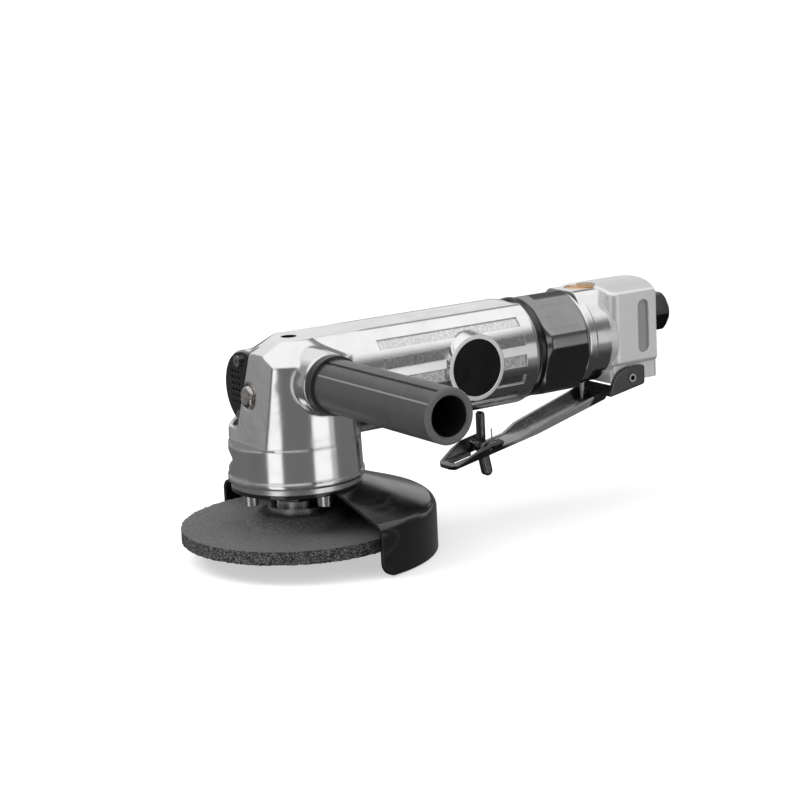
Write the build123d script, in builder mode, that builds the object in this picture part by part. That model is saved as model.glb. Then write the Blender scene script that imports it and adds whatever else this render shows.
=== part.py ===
from build123d import *
from math import acos, atan2, cos, pi, radians, sin, sqrt, tan
import os

# An air angle grinder. Z is the spindle axis and z = 0 is the wheel's working face.
# The motor lies along +X towards the air inlet, and the side handle points to -Y.
# Every size is in millimetres and every angle in degrees.

# Clearances
SEAT = 0.02  # between pieces that are pressed or screwed together
RUN = 0.05  # radial, between a piece that turns or slides and its seat
GAP = 0.3  # between pieces that pass each other
CHAMBER_GAP = 1.0  # round the gears and behind the bearings

# Grinding wheel with a raised centre, and its clamping
WHEEL_R = 50.0
WHEEL_T = 6.0
WHEEL_BORE_R = 8.0
HUB_RAISE = 4.5
HUB_R = 17.0
HUB_SLOPE = 5.0
FLANGE_R = 13.0
FLANGE_RIM_T = 2.8
FLANGE_NECK_R = 9.0
FLANGE_NECK_T = 2.2
PILOT_DEPTH = 5.0
FLANGE_NUT_R = 14.5
FLANGE_NUT_T = 4.1
PIN_HOLE_R = 2.0
PIN_HOLE_SPREAD = 10.0
PIN_HOLES = 4

# Spindle
THREAD_R = 5.0
HEX_FLATS = 13.0
HEX_T = 5.5
JOURNAL_R = 7.5
GEAR_SEAT_R = 6.0
WAIST_R = 4.6
SPINDLE_TIP_R = 4.0

# Gear head casting
HEAD_BOTTOM = 25.4
CUP_R = 28.2
CUP_TOP_R = 27.8
CUP_TOP_Z = 41.6
BEAD_R = 28.7
BEAD_H = 2.4
DRUM_R = 27.5
DRUM_TOP_R = 26.6
SHOULDER_Z = 76.4
SHOULDER_TOP_R = 12.0
TOP_Z = 84.2
FACET_FOOT_X = -23.0
FACET_LEAN = 6.0
FACET_EDGE_R = 1.5
BROW_X = -8.6
BROW_Z = 79.2
BROW_R = 3.0
CORNER_CUT = (-14.5, 2.3, 81.4)
CORNER_AZIMUTH = 136.6
CORNER_LIFT = 57.5
TOP_HOLE_R = 3.2
NOTCH_AZIMUTH = 147.0
NOTCH_Z = 34.6
NOTCH_R = 4.5
NOTCH_DEPTH = 2.7
NOTCH_L = 26.0

# Motor barrel
AXIS_Z = 62.8
BARREL_R = 24.0
BARREL_END = 113.2
BARREL_ROUND_SHARE = 2 / 3  # of the step from the barrel down to the neck
MOTOR_R = 17.4
NECK_R = 19.2
NECK_END = 130.7
FLUTE_COUNT = 5
FLUTE_FIRST = -44.0
FLUTE_PITCH = 21.0
FLUTE_W = 4.8
FLUTE_DEPTH = 0.8
FLUTE_START = 32.0
FLUTE_END = 104.5

# Badge boss
BADGE_X = 77.0
BADGE_R = 12.3
BADGE_T = 0.8
BADGE_RIM = 2.0
BADGE_LIFT = 1.2
BADGE_DRAFT = 8.0

# Exhaust duct on the right of the head
DUCT_FRONT_X = -14.0
DUCT_L = 30.0
DUCT_Y = 13.2
DUCT_Z = 62.3
DUCT_R = 16.4
DUCT_FLAT = 7.5
DUCT_FLAT_TURN = 13.7
DUCT_SILL = 10.0
HOLLOW_Y = 21.5
HOLLOW_W = 3.6
HOLLOW_H = 16.0
PLENUM_Y = 14.8
PLENUM_DEPTH = 3.0
GALLERY_X = 8.0
GALLERY_END_X = 56.0
GALLERY_Y = 19.5
GALLERY_W = 5.0
GALLERY_H = 10.0
PLATE_T = 1.2
PLATE_INSET = 0.8
VENT_R = 0.75
VENT_PITCH = 2.6
SMALL_SCREW_R = 1.5
SMALL_HEAD_R = 2.4
SMALL_HEAD_T = 1.4
SMALL_SCREW_L = 5.0
DUCT_SCREW_Y = 16.2
DUCT_SCREW_LIFT = 11.6
CROSS_W = 0.6

# Grease plug on the front facet
PLUG_Z = 61.7
PLUG_HEAD_R = 4.8
PLUG_HEAD_T = 2.8
PLUG_SHANK_R = 3.0
PLUG_SHANK_L = 5.0
PLUG_RECESS_R = 5.4
PLUG_RECESS_T = 1.0
PLUG_SLOT_W = 1.2
PLUG_SLOT_DEPTH = 0.9
PLUG_DOME = 2.1

# Side handle
HANDLE_Z = 68.4
HANDLE_R = 11.0
HANDLE_BORE_R = 7.75
HANDLE_END_Y = -115.6
COLLAR_R = 12.2
COLLAR_T = 4.2
BOSS_FACE_Y = -31.6
BOSS_R = 12.6
BOSS_ROOT_Y = -14.0
BOSS_DRAFT = 3.0
HANDLE_FLOOR = 18.0
GROOVE_COUNT = 2
GROOVE_FIRST = 113.0
GROOVE_W = 1.4
GROOVE_DEPTH = 0.7
BOLT_R = 5.0
BOLT_FLATS = 13.0
BOLT_HEAD_T = 6.4
BOLT_REACH = 14.0
END_BAND = 1.6
HANDLE_CHAMFER = 0.9

# Bearing cap, its screws, and the guard
CAP_T = 2.4
CAP_INSET = 0.2
CAP_HOLE_R = 8.2
CAP_SCREWS = 4
SCREW_MARGIN = 5.1
SCREW_R = 2.0
SCREW_HEAD_R = 3.5
SCREW_HEAD_T = 4.0
SCREW_L = 15.0
SOCKET_FLATS = 3.0
SOCKET_DEPTH = 2.2
WASHER_T = 0.9
WASHER_R = 3.6
WASHER_SPLIT = 0.7
SEAL_R = 11.2
SEAL_T = 3.0
GUARD_T = 1.6
GUARD_RING_R = 27.6
GUARD_RING_W = 10.0
GUARD_SHOULDER_Z = 12.6
GUARD_R = 58.0
GUARD_LIP_Z = -8.0
GUARD_START = -86.0
GUARD_SWEEP = 180.0
GUARD_ROUND = 5.0
GUARD_CORNER = 6.0

# Ball bearings
SMALL_BORE_R = 4.0
SMALL_OUTER_R = 11.0
SMALL_W = 7.0
SMALL_BALLS = 7
LARGE_BORE_R = JOURNAL_R
LARGE_OUTER_R = 17.5
LARGE_W = 11.0
LARGE_BALLS = 8
LOWER_BEARING_Z = 29.3
UPPER_BEARING_Z = 71.5
RING_SHARE = 0.28  # race thickness over the ring width
BALL_SHARE = 0.3  # ball radius over the ring width

# Bevel gears, whose axes cross at the height of the motor axis
MODULE = 1.5
GEAR_TEETH = 20
PINION_TEETH = 11
PRESSURE_ANGLE = 20.0
ADDENDUM = 1.2
DEDENDUM = 1.6
BACKLASH = 0.45
FACE_W = 5.5
TOOTH_SINK = 0.4
FLANK_STEPS = 6
GEAR_HUB_R = 11.0
GEAR_HUB_TOP_Z = 50.0
JOURNAL_TOP_Z = 41.0
GEAR_SEAT_TOP_Z = 59.0
WAIST_TOP_Z = 71.0
SPINDLE_TOP_Z = 78.0
THREAD_BOTTOM_Z = 0.8
KEY_W = 3.0
KEY_H = 3.0
KEY_L = 7.0
KEY_Z = 43.0
CLIP_T = 1.2
CLIP_R = 8.6
CLIP_GROOVE = 0.6
CLIP_OPENING = 60.0

# Vane motor
FRONT_BEARING_X = 19.8
PLATE_BOSS_R = 13.2
END_PLATE_T = 6.4
CYLINDER_L = 48.0
ROTOR_R = 12.0
CYLINDER_BORE_R = 13.6
ECCENTRICITY = 1.3
VANE_COUNT = 5
VANE_T = 1.6
VANE_H = 5.8
VANE_SLOT_DEPTH = 6.4
SHAFT_R = 4.0
SHAFT_HOLE_R = 4.6
PINION_SEAT_R = 3.2
PINION_HUB_R = 6.0
SHAFT_THREAD_R = 2.6
SHAFT_OVERRUN = 1.3
PINION_NUT_FLATS = 8.0
PINION_NUT_T = 2.2
DOWEL_R = 1.0
DOWEL_DEPTH = 4.0
DOWEL_Y = -14.9
PORT_R = 1.3
PORT_COUNT = 7
PORT_PITCH = 3.0
INTAKE_R = 0.8
INTAKE_CIRCLE_R = 14.2
INTAKE_ANGLES = (20, 32, 44)

# Clamp ring and hexagon collar nut
RING_T = 3.8
RING_R = 22.6
RING_CHAMFER = 1.0
NUT_FLATS = 44.2
NUT_ROUND_R = 24.0
NUT_L = 23.6
NUT_CHAMFER = 2.2
NUT_TURN = 11.6

# Valve body
SPIGOT_WALL = 3.7
FRONT_RING_R = 21.5
FRONT_RING_L = 4.6
FRONT_RING_ROUND = 1.2
WAIST_BODY_R = 20.6
DECK_Z = 85.3
DECK_HALF_W = 9.5
DECK_ROUND = 5.0
BLOCK_FRONT_X = 155.3
BLOCK_SIDE_X = 181.0
BLOCK_BACK_X = 186.2
BLOCK_HALF_W = 19.5
BLOCK_BOTTOM_Z = 50.0
BLOCK_EDGE_Z = 83.2
BLOCK_CROWN_Z = 86.4
BLOCK_ROUND = 2.2
BLOCK_FRONT_ROUND = 4.5
STEP_HALF_W = 15.0
STEP_BOTTOM_Z = 41.8
STEP_FRONT_X = 158.0
STEP_BACK_X = 185.0
LUG_BOTTOM_Z = 40.2
LUG_FRONT_X = 163.6
LUG_BACK_X = 173.2
PANEL_SLOT_X = 173.6
PANEL_SLOT_Z = 66.9
PANEL_SLOT_W = 6.2
PANEL_SLOT_H = 24.0
PANEL_SLOT_DEPTH = 1.4
PANEL_SLOT_ROUND = 3.0
AIR_CHAMBER_END = 137.0

# Throttle valve, on the inlet's axis
INLET_Z = 68.8
VALVE_CHAMBER_R = 6.0
VALVE_CHAMBER_X = 147.0
SEAT_X = 164.0
SEAT_T = 3.0
SEAT_R = 6.6
SEAT_HOLE_R = 3.4
VALVE_DISC_R = 5.0
VALVE_DISC_T = 2.0
TIP_ROD_R = 1.2
TIP_ROD_END_X = 151.0
STEM_X = 153.0
STEM_R = 1.35
STEM_FOOT_Z = 33.1
STEM_TOP_Z = 67.3
STEM_ROUND = 0.8
STEM_ORING_Z = 47.0
ORING_WIRE_R = 0.6
VALVE_SPRING_R = 4.9
VALVE_WIRE_R = 0.4
VALVE_SPRING_TURNS = 3
WIRE_SAMPLES = 400  # points on which a spring's gap is measured

# Air inlet bushing
BUSH_THREAD_R = 8.0
BUSH_THREAD_L = 10.2
BUSH_HEX_L = 11.8
BUSH_FLATS = 17.0
BUSH_ROUND_R = 9.5
INLET_R = 5.7
INLET_DEPTH = 15.0
BUSH_BORE_R = 4.0
BUSH_CHAMFER = 0.8
SCREEN_R = 5.0
SCREEN_T = 0.8
SCREEN_HOLE_R = 0.5
SCREEN_PITCH = 1.7
SCREEN_ROWS = 5

# Air regulator
REGULATOR_HEAD_R = 6.8
REGULATOR_HEAD_T = 3.4
REGULATOR_TOP_Z = 85.1
REGULATOR_R = 5.5
REGULATOR_FOOT_Z = 75.6
REGULATOR_SLOT_W = 1.6
REGULATOR_SLOT_DEPTH = 1.2
REGULATOR_SLOT_TURN = 30.0
REGULATOR_ROUND = 0.8
REGULATOR_ORING_Z = 81.0
AIR_WAY_Z = 78.4
AIR_WAY_R = 1.9
AIR_WAY_START = 133.0
AIR_WAY_END = 163.0
RISER_INSET = 2.0

# Throttle lever, at rest
PIVOT_X = 168.4
PIVOT_Z = 43.4
LEVER_PIN_R = 2.0
LEVER_PIN_BORE_R = 1.1
SHEET_T = 1.6
CHANNEL_HALF_W = 7.2
WEB_HALF_W = 6.0
WALL_SPLAY = 38.0
WALL_ROOM = 9.0
NOSE_HALF_W = 9.2
WEB_REAR_X = 161.0
WEB_REAR_Z = 33.0
REAR_SLOPE = 14.3
BEND_X = 122.6
FRONT_SLOPE = 10.7
LEVER_TIP_X = 75.6
TIP_CORNER = 7.0
WALL_H = 3.9
LOCK_EAR_H = 6.0
LOCK_EAR_FRONT_X = 90.0
LOCK_EAR_BACK_X = 101.0
LOW_WALL_H = 2.0
LOW_WALL_END_X = 112.0
NOSE_X = 78.0
KINK_X = 119.5
EAR_HALF_W = 16.9
EAR_FRONT_X = 155.8
EAR_FOOT_Z = 36.4
EAR_SLOPE = 9.8
EAR_BACK_X = 175.5
EAR_TOP_Z = 48.6
EAR_ROUND = 12.0
EAR_CORNER = 1.6

# Lock lever on the throttle lever
LOCK_X = 95.2
LOCK_Z = 21.1
LOCK_PIN_R = 1.3
LOCK_ARM_R = 1.6
LOCK_ARM_W = 4.0
LOCK_TOP_CLEAR = 1.7
LOCK_TAB_R = 2.3
LOCK_TAB_X = 97.6
LOCK_TAB_Z = 9.8
LOCK_HUB_R = 2.9
LOCK_EDGE_R = 1.1
LOCK_SLOT_FRONT_X = 79.0
LOCK_WINDOW = 4.2
LOCK_SPRING_R = 2.3
LOCK_WIRE_R = 0.35
LOCK_COIL_PITCH = 1.15
LOCK_COIL_QUARTERS = 8
LOCK_LEG_TOP_Z = 29.6
LOCK_LEG_L = 8.0

os.makedirs("parts", exist_ok=True)

MOTOR_AXIS = Axis((0, 0, AXIS_Z), (1, 0, 0))
INLET_AXIS = Axis((0, 0, INLET_Z), (1, 0, 0))
STEM_AXIS = Axis((STEM_X, 0, 0), (0, 0, 1))
FULL = 400.0  # longer than the tool, for cuts that go right through


def keep(piece, name):
    """Label a finished piece and write it."""
    piece.part.label = name
    export_step(piece.part, f"parts/{name}.step")


def across(x, z, y=0.0):
    """A plane that faces -Y at a point, with local axes along X and Z."""
    return Plane((x, y, z), x_dir=(1, 0, 0), z_dir=(0, -1, 0))


def along(x, z=AXIS_Z, y=0.0):
    """A plane that faces +X at a point, with local axes along Y and Z."""
    return Plane((x, y, z), x_dir=(0, 1, 0), z_dir=(1, 0, 0))


def level(z, x=0.0, y=0.0):
    """A plane that faces +Z at a point."""
    return Plane((x, y, z))


def outline(plane, points, radii=None):
    """A flat face on a plane, with straight sides and some corners rounded."""
    with BuildSketch(plane) as face:
        with BuildLine():
            if radii is None:
                Polyline(*points, close=True)
            else:
                FilletPolyline(*points, radius=radii, close=True)
        make_face()
    return face.sketch


def turned(points, axis, mode=Mode.ADD, radii=None):
    """Revolve an outline in the XZ plane about an axis of that plane."""
    revolve(outline(Plane.XZ, points, radii), axis=axis, mode=mode)


def rod(plane, radius, length, mode=Mode.ADD):
    """A round bar or hole that starts on a plane and follows its normal."""
    with BuildSketch(plane) as section:
        Circle(radius)
    extrude(section.sketch, amount=length, mode=mode)


def hexagon(plane, flats, length, turn=0.0, mode=Mode.ADD):
    """A six-sided bar or socket that starts on a plane and follows its normal."""
    with BuildSketch(plane) as section:
        RegularPolygon(flats / 2, 6, major_radius=False, rotation=turn)
    extrude(section.sketch, amount=length, mode=mode)


def ring_points(inner, outer, low, high):
    """Half section of a plain ring about Z."""
    return [(inner, low), (outer, low), (outer, high), (inner, high)]


def shaft_ring(inner, outer, low, high):
    """Half section of a plain ring about the motor axis."""
    return [(x, AXIS_Z + r) for r, x in ring_points(inner, outer, low, high)]


# Places that follow from the driving dimensions
hub_top = WHEEL_T + HUB_RAISE
flange_top = hub_top + FLANGE_RIM_T + FLANGE_NECK_T
hex_top = flange_top + HEX_T
nut_bottom = HUB_RAISE - FLANGE_NUT_T
cap_bottom = HEAD_BOTTOM - CAP_T
guard_bottom = cap_bottom - GUARD_T
washer_bottom = guard_bottom - WASHER_T
seal_bottom = cap_bottom + GAP
lower_bearing_top = LOWER_BEARING_Z + LARGE_W
upper_bearing_top = UPPER_BEARING_Z + SMALL_W
gear_pitch_r = MODULE * GEAR_TEETH / 2
pinion_pitch_r = MODULE * PINION_TEETH / 2
cone_length = sqrt(gear_pitch_r**2 + pinion_pitch_r**2)
toe_share = (cone_length - FACE_W) / cone_length
gear_tip_r = gear_pitch_r + ADDENDUM * pinion_pitch_r / cone_length
pinion_tip_r = pinion_pitch_r + ADDENDUM * gear_pitch_r / cone_length
gear_root_r = gear_pitch_r - DEDENDUM * pinion_pitch_r / cone_length
gear_root_drop = pinion_pitch_r + DEDENDUM * gear_pitch_r / cone_length
gear_toe_z = AXIS_Z - gear_root_drop * toe_share
pinion_root_r = pinion_pitch_r - DEDENDUM * gear_pitch_r / cone_length
pinion_root_x = gear_pitch_r + DEDENDUM * pinion_pitch_r / cone_length
gear_chamber_r = gear_tip_r + CHAMBER_GAP
gear_tip_drop = pinion_pitch_r - ADDENDUM * gear_pitch_r / cone_length
gear_chamber_top = AXIS_Z - gear_tip_drop * toe_share + CHAMBER_GAP
pinion_bore_r = pinion_tip_r + CHAMBER_GAP
front_bearing_end = FRONT_BEARING_X + SMALL_W
end_plate_x = front_bearing_end + CHAMBER_GAP
cylinder_start = end_plate_x + END_PLATE_T
cylinder_end = cylinder_start + CYLINDER_L
rear_plate_end = cylinder_end + END_PLATE_T
rear_bearing_x = rear_plate_end + SEAT
rear_bearing_end = rear_bearing_x + SMALL_W
shaft_end_x = rear_bearing_end + SHAFT_OVERRUN
barrel_round = (BARREL_R - NECK_R) * BARREL_ROUND_SHARE
nut_x = BARREL_END + RING_T
nut_end = nut_x + NUT_L
valve_collar_x = nut_end + GAP
spigot_r = MOTOR_R - SEAT
stator_r = MOTOR_R - SEAT
seat_end = SEAT_X + SEAT_T
disc_x = seat_end + SEAT
disc_end = disc_x + VALVE_DISC_T
cap_r = GUARD_RING_R - CAP_INSET
screw_circle_r = GUARD_RING_R - SCREW_MARGIN
bush_front_x = BLOCK_BACK_X - BUSH_THREAD_L
bush_end_x = BLOCK_BACK_X + BUSH_HEX_L
lock_top_z = AXIS_Z - BARREL_R - LOCK_TOP_CLEAR
facet_slope = tan(radians(FACET_LEAN))
notch_mid_r = CUP_R + NOTCH_R - NOTCH_DEPTH
guard_hole_r = GUARD_RING_R - GUARD_RING_W
boss_root_r = BOSS_R + (BOSS_ROOT_Y - BOSS_FACE_Y) * tan(radians(BOSS_DRAFT))
badge_face_y = -BARREL_R - BADGE_LIFT
badge_root_y = -BARREL_R / 2
badge_root_r = BADGE_R + BADGE_RIM + (badge_root_y - badge_face_y) * tan(radians(BADGE_DRAFT))
handle_floor_y = BOSS_FACE_Y - HANDLE_FLOOR
plate_x = DUCT_FRONT_X - PLATE_T
duct_sill = radians(DUCT_SILL)


def facet_x(z):
    """Where the sloping front facet lies at a height."""
    return FACET_FOOT_X + (z - CUP_TOP_Z) * facet_slope


facet_plane = Plane(
    (facet_x(PLUG_Z), 0, PLUG_Z),
    x_dir=(0, -1, 0),
    z_dir=(-cos(radians(FACET_LEAN)), 0, sin(radians(FACET_LEAN))),
)
corner_lift = radians(CORNER_LIFT)
corner_turn = radians(CORNER_AZIMUTH)
corner_plane = Plane(
    CORNER_CUT,
    z_dir=(cos(corner_lift) * cos(corner_turn), cos(corner_lift) * sin(corner_turn), sin(corner_lift)),
)
cap_screw_angles = [i * 360 / CAP_SCREWS for i in range(CAP_SCREWS)]


def screw_plane(angle, z):
    """A level plane on the axis of one of the bearing cap's screws."""
    turn = radians(angle)
    return level(z, screw_circle_r * cos(turn), screw_circle_r * sin(turn))


def duct_section(x, radius, flat, open_top=False):
    """The exhaust duct's round section, up to a slanting flat on the side of the facet."""
    with BuildSketch(along(x, DUCT_Z, DUCT_Y)) as section:
        Circle(radius)
        if open_top:
            with Locations((0, radius)):
                Rectangle(2 * radius, 2 * radius)
        with Locations(Location((0, 0), DUCT_FLAT_TURN)):
            with Locations((-flat - FULL / 2, 0)):
                Rectangle(FULL, FULL, mode=Mode.SUBTRACT)
    return section.sketch


# Motor housing: gear head and barrel in one casting
with BuildPart() as motor_housing:
    # Drum of the head under a conical shoulder, cut back by the front facet and its brow
    turned(
        [
            (0, HEAD_BOTTOM),
            (DRUM_R, HEAD_BOTTOM),
            (DRUM_R, CUP_TOP_Z),
            (DRUM_TOP_R, SHOULDER_Z),
            (SHOULDER_TOP_R, TOP_Z),
            (0, TOP_Z),
        ],
        Axis.Z,
    )
    side_view = outline(
        Plane.XZ,
        [
            (BARREL_R * 2, HEAD_BOTTOM),
            (BARREL_R * 2, TOP_Z),
            (BROW_X, TOP_Z),
            (facet_x(BROW_Z), BROW_Z),
            (facet_x(HEAD_BOTTOM), HEAD_BOTTOM),
        ],
        (0, 0, 2 * BROW_R, BROW_R, 0),
    )
    extrude(side_view, amount=FULL, both=True, mode=Mode.INTERSECT)
    facet = motor_housing.faces().filter_by(facet_plane).sort_by(Axis.X)[0]
    fillet([e for e in facet.edges() if e.center().Y < -DUCT_FLAT], FACET_EDGE_R)
    split(bisect_by=corner_plane, keep=Keep.BOTTOM)
    # Cup below the drum, with a bead round its rim
    turned(
        [
            (0, HEAD_BOTTOM),
            (BEAD_R, HEAD_BOTTOM),
            (BEAD_R, HEAD_BOTTOM + BEAD_H),
            (CUP_R, HEAD_BOTTOM + BEAD_H),
            (CUP_TOP_R, CUP_TOP_Z),
            (0, CUP_TOP_Z),
        ],
        Axis.Z,
    )
    # Barrel, rounded at its rear edge, and the threaded neck behind it
    turned(
        [
            (0, AXIS_Z),
            (0, AXIS_Z + BARREL_R),
            (BARREL_END, AXIS_Z + BARREL_R),
            (BARREL_END, AXIS_Z + NECK_R),
            (NECK_END, AXIS_Z + NECK_R),
            (NECK_END, AXIS_Z),
        ],
        MOTOR_AXIS,
        radii=(0, 0, barrel_round, 0, 0, 0),
    )
    with BuildSketch(level(TOP_Z)):
        Rectangle(FULL, FULL)
    extrude(amount=FULL, mode=Mode.SUBTRACT)
    # Shallow flutes along both sides of the barrel
    for side in (1, -1):
        for i in range(FLUTE_COUNT):
            lift = radians(FLUTE_FIRST + i * FLUTE_PITCH)
            outward = Vector(0, -side * cos(lift), sin(lift))
            floor = Vector((FLUTE_START + FLUTE_END) / 2, 0, AXIS_Z) + outward * (BARREL_R - FLUTE_DEPTH)
            with BuildSketch(Plane(floor, x_dir=(1, 0, 0), z_dir=outward)):
                Rectangle(FLUTE_END - FLUTE_START, FLUTE_W)
            extrude(amount=BARREL_R, mode=Mode.SUBTRACT)
    # Bosses for the badge, the side handle and the exhaust duct
    with BuildSketch(across(BADGE_X, AXIS_Z, badge_root_y)):
        Circle(badge_root_r)
    extrude(amount=badge_root_y - badge_face_y, taper=BADGE_DRAFT)
    with BuildSketch(across(0, HANDLE_Z, BOSS_ROOT_Y)):
        Circle(boss_root_r)
    extrude(amount=BOSS_ROOT_Y - BOSS_FACE_Y, taper=BOSS_DRAFT)
    rod(along(DUCT_FRONT_X, DUCT_Z, DUCT_Y), DUCT_R, DUCT_L)
    duct_front = duct_section(DUCT_FRONT_X, DUCT_R, DUCT_FLAT, True)
    extrude(duct_front, amount=FULL, dir=(-cos(duct_sill), 0, sin(duct_sill)), mode=Mode.SUBTRACT)
    facet = motor_housing.faces().filter_by(facet_plane).sort_by(SortBy.AREA)[-1]
    fillet(facet.edges().filter_by(GeomType.LINE).sort_by(Axis.Y)[-1], FACET_EDGE_R)
    # Half-round notch low on the front right of the cup
    notch = radians(NOTCH_AZIMUTH)
    notch_tangent = Vector(-sin(notch), cos(notch), 0)
    notch_mid = Vector(notch_mid_r * cos(notch), notch_mid_r * sin(notch), NOTCH_Z)
    rod(Plane(notch_mid - notch_tangent * NOTCH_L / 2, z_dir=notch_tangent), NOTCH_R, NOTCH_L, Mode.SUBTRACT)
    # Spindle bore: lower bearing seat, gear chamber, upper bearing seat and top hole
    turned(
        [
            (0, 0),
            (LARGE_OUTER_R + SEAT, 0),
            (LARGE_OUTER_R + SEAT, lower_bearing_top + SEAT),
            (gear_chamber_r, lower_bearing_top + SEAT),
            (gear_chamber_r, gear_chamber_top),
            (SMALL_OUTER_R + SEAT, gear_chamber_top),
            (SMALL_OUTER_R + SEAT, upper_bearing_top + SEAT),
            (TOP_HOLE_R, upper_bearing_top + SEAT),
            (TOP_HOLE_R, TOP_Z + GAP),
            (0, TOP_Z + GAP),
        ],
        Axis.Z,
        Mode.SUBTRACT,
    )
    # Motor bore: room for the pinion, the front plate's boss, and the stator
    turned(
        [
            (0, AXIS_Z),
            (0, AXIS_Z + pinion_bore_r),
            (FRONT_BEARING_X - GAP, AXIS_Z + pinion_bore_r),
            (FRONT_BEARING_X - GAP, AXIS_Z + PLATE_BOSS_R + SEAT),
            (end_plate_x - SEAT, AXIS_Z + PLATE_BOSS_R + SEAT),
            (end_plate_x - SEAT, AXIS_Z + MOTOR_R),
            (NECK_END + GAP, AXIS_Z + MOTOR_R),
            (NECK_END + GAP, AXIS_Z),
        ],
        MOTOR_AXIS,
        Mode.SUBTRACT,
    )
    # Exhaust gallery from the stator to the duct, and the hollow behind the plate
    with BuildSketch(along(GALLERY_X, AXIS_Z, GALLERY_Y)):
        Rectangle(GALLERY_W, GALLERY_H)
    extrude(amount=GALLERY_END_X - GALLERY_X, mode=Mode.SUBTRACT)
    with BuildSketch(along(DUCT_FRONT_X, DUCT_Z, HOLLOW_Y + HOLLOW_W / 2)):
        Rectangle(HOLLOW_W, HOLLOW_H)
    extrude(amount=DUCT_L - GALLERY_W, mode=Mode.SUBTRACT)
    plenum_w = HOLLOW_Y + HOLLOW_W - PLENUM_Y
    with BuildSketch(along(DUCT_FRONT_X, DUCT_Z, PLENUM_Y + plenum_w / 2)):
        Rectangle(plenum_w, HOLLOW_H)
    extrude(amount=PLENUM_DEPTH, mode=Mode.SUBTRACT)
    # Tapped and plain holes for the fasteners
    for angle in cap_screw_angles:
        rod(screw_plane(angle, 0), SCREW_R + SEAT, guard_bottom + SCREW_L + GAP, Mode.SUBTRACT)
    for lift in (-DUCT_SCREW_LIFT, DUCT_SCREW_LIFT):
        rod(
            along(DUCT_FRONT_X, DUCT_Z + lift, DUCT_SCREW_Y),
            SMALL_SCREW_R + SEAT,
            SMALL_SCREW_L,
            Mode.SUBTRACT,
        )
    rod(across(0, HANDLE_Z, BOSS_FACE_Y), BOLT_R + SEAT, -BOLT_REACH - GAP, Mode.SUBTRACT)
    rod(facet_plane, PLUG_RECESS_R, -PLUG_RECESS_T, Mode.SUBTRACT)
    rod(facet_plane, PLUG_SHANK_R + SEAT, -BARREL_R / 2, Mode.SUBTRACT)
    rod(across(BADGE_X, AXIS_Z, badge_face_y), BADGE_R + SEAT, -BADGE_T, Mode.SUBTRACT)
keep(motor_housing, "motor_housing")

# Plain round plate in the badge boss
with BuildPart() as badge_plate:
    rod(across(BADGE_X, AXIS_Z, badge_face_y), BADGE_R, -BADGE_T + SEAT)
keep(badge_plate, "badge_plate")

# Perforated plate over the exhaust duct, and its two screws
with BuildPart() as exhaust_plate:
    extrude(duct_section(plate_x, DUCT_R - PLATE_INSET, DUCT_FLAT - PLATE_INSET), amount=PLATE_T)
    vent_rows = int(HOLLOW_H / VENT_PITCH)
    vent_columns = int((HOLLOW_Y + HOLLOW_W - PLENUM_Y) / VENT_PITCH)
    with BuildSketch(along(plate_x, DUCT_Z, (PLENUM_Y + HOLLOW_Y + HOLLOW_W) / 2)):
        with GridLocations(VENT_PITCH, VENT_PITCH, vent_columns, vent_rows):
            Circle(VENT_R)
    extrude(amount=PLATE_T, mode=Mode.SUBTRACT)
    for lift in (-DUCT_SCREW_LIFT, DUCT_SCREW_LIFT):
        rod(along(plate_x, DUCT_Z + lift, DUCT_SCREW_Y), SMALL_SCREW_R + SEAT, PLATE_T, Mode.SUBTRACT)
keep(exhaust_plate, "exhaust_plate")

with BuildPart() as exhaust_screws:
    for lift in (-DUCT_SCREW_LIFT, DUCT_SCREW_LIFT):
        rod(along(plate_x, DUCT_Z + lift, DUCT_SCREW_Y), SMALL_HEAD_R, -SMALL_HEAD_T)
        rod(along(plate_x, DUCT_Z + lift, DUCT_SCREW_Y), SMALL_SCREW_R, SMALL_SCREW_L)
        cross = along(plate_x - SMALL_HEAD_T, DUCT_Z + lift, DUCT_SCREW_Y)
        for wide, tall in ((SMALL_HEAD_R, CROSS_W), (CROSS_W, SMALL_HEAD_R)):
            with BuildSketch(cross):
                Rectangle(wide, tall)
            extrude(amount=SMALL_HEAD_T / 2, mode=Mode.SUBTRACT)
keep(exhaust_screws, "exhaust_screws")

# Dome-headed grease plug on the front facet
with BuildPart() as grease_plug:
    rod(facet_plane.offset(-PLUG_RECESS_T), PLUG_HEAD_R, PLUG_HEAD_T)
    fillet(grease_plug.edges().group_by(Axis.X)[0], PLUG_DOME)
    with BuildSketch(facet_plane.offset(PLUG_HEAD_T - PLUG_RECESS_T)):
        Rectangle(PLUG_HEAD_R * 2, PLUG_SLOT_W)
    extrude(amount=-PLUG_SLOT_DEPTH, mode=Mode.SUBTRACT)
    rod(facet_plane.offset(-PLUG_RECESS_T), PLUG_SHANK_R, -PLUG_SHANK_L)
keep(grease_plug, "grease_plug")

# Bearing cap under the head, and the felt ring inside it
with BuildPart() as bearing_cap:
    turned(
        [
            (CAP_HOLE_R, cap_bottom),
            (cap_r, cap_bottom),
            (cap_r, HEAD_BOTTOM),
            (LARGE_OUTER_R - SEAT, HEAD_BOTTOM),
            (LARGE_OUTER_R - SEAT, LOWER_BEARING_Z - SEAT),
            (SEAL_R + SEAT, LOWER_BEARING_Z - SEAT),
            (SEAL_R + SEAT, seal_bottom),
            (CAP_HOLE_R, seal_bottom),
        ],
        Axis.Z,
    )
    for angle in cap_screw_angles:
        rod(screw_plane(angle, cap_bottom), SCREW_R + GAP, CAP_T, Mode.SUBTRACT)
keep(bearing_cap, "bearing_cap")

with BuildPart() as spindle_seal:
    turned(ring_points(JOURNAL_R + RUN, SEAL_R, seal_bottom, seal_bottom + SEAL_T), Axis.Z)
keep(spindle_seal, "spindle_seal")

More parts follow.
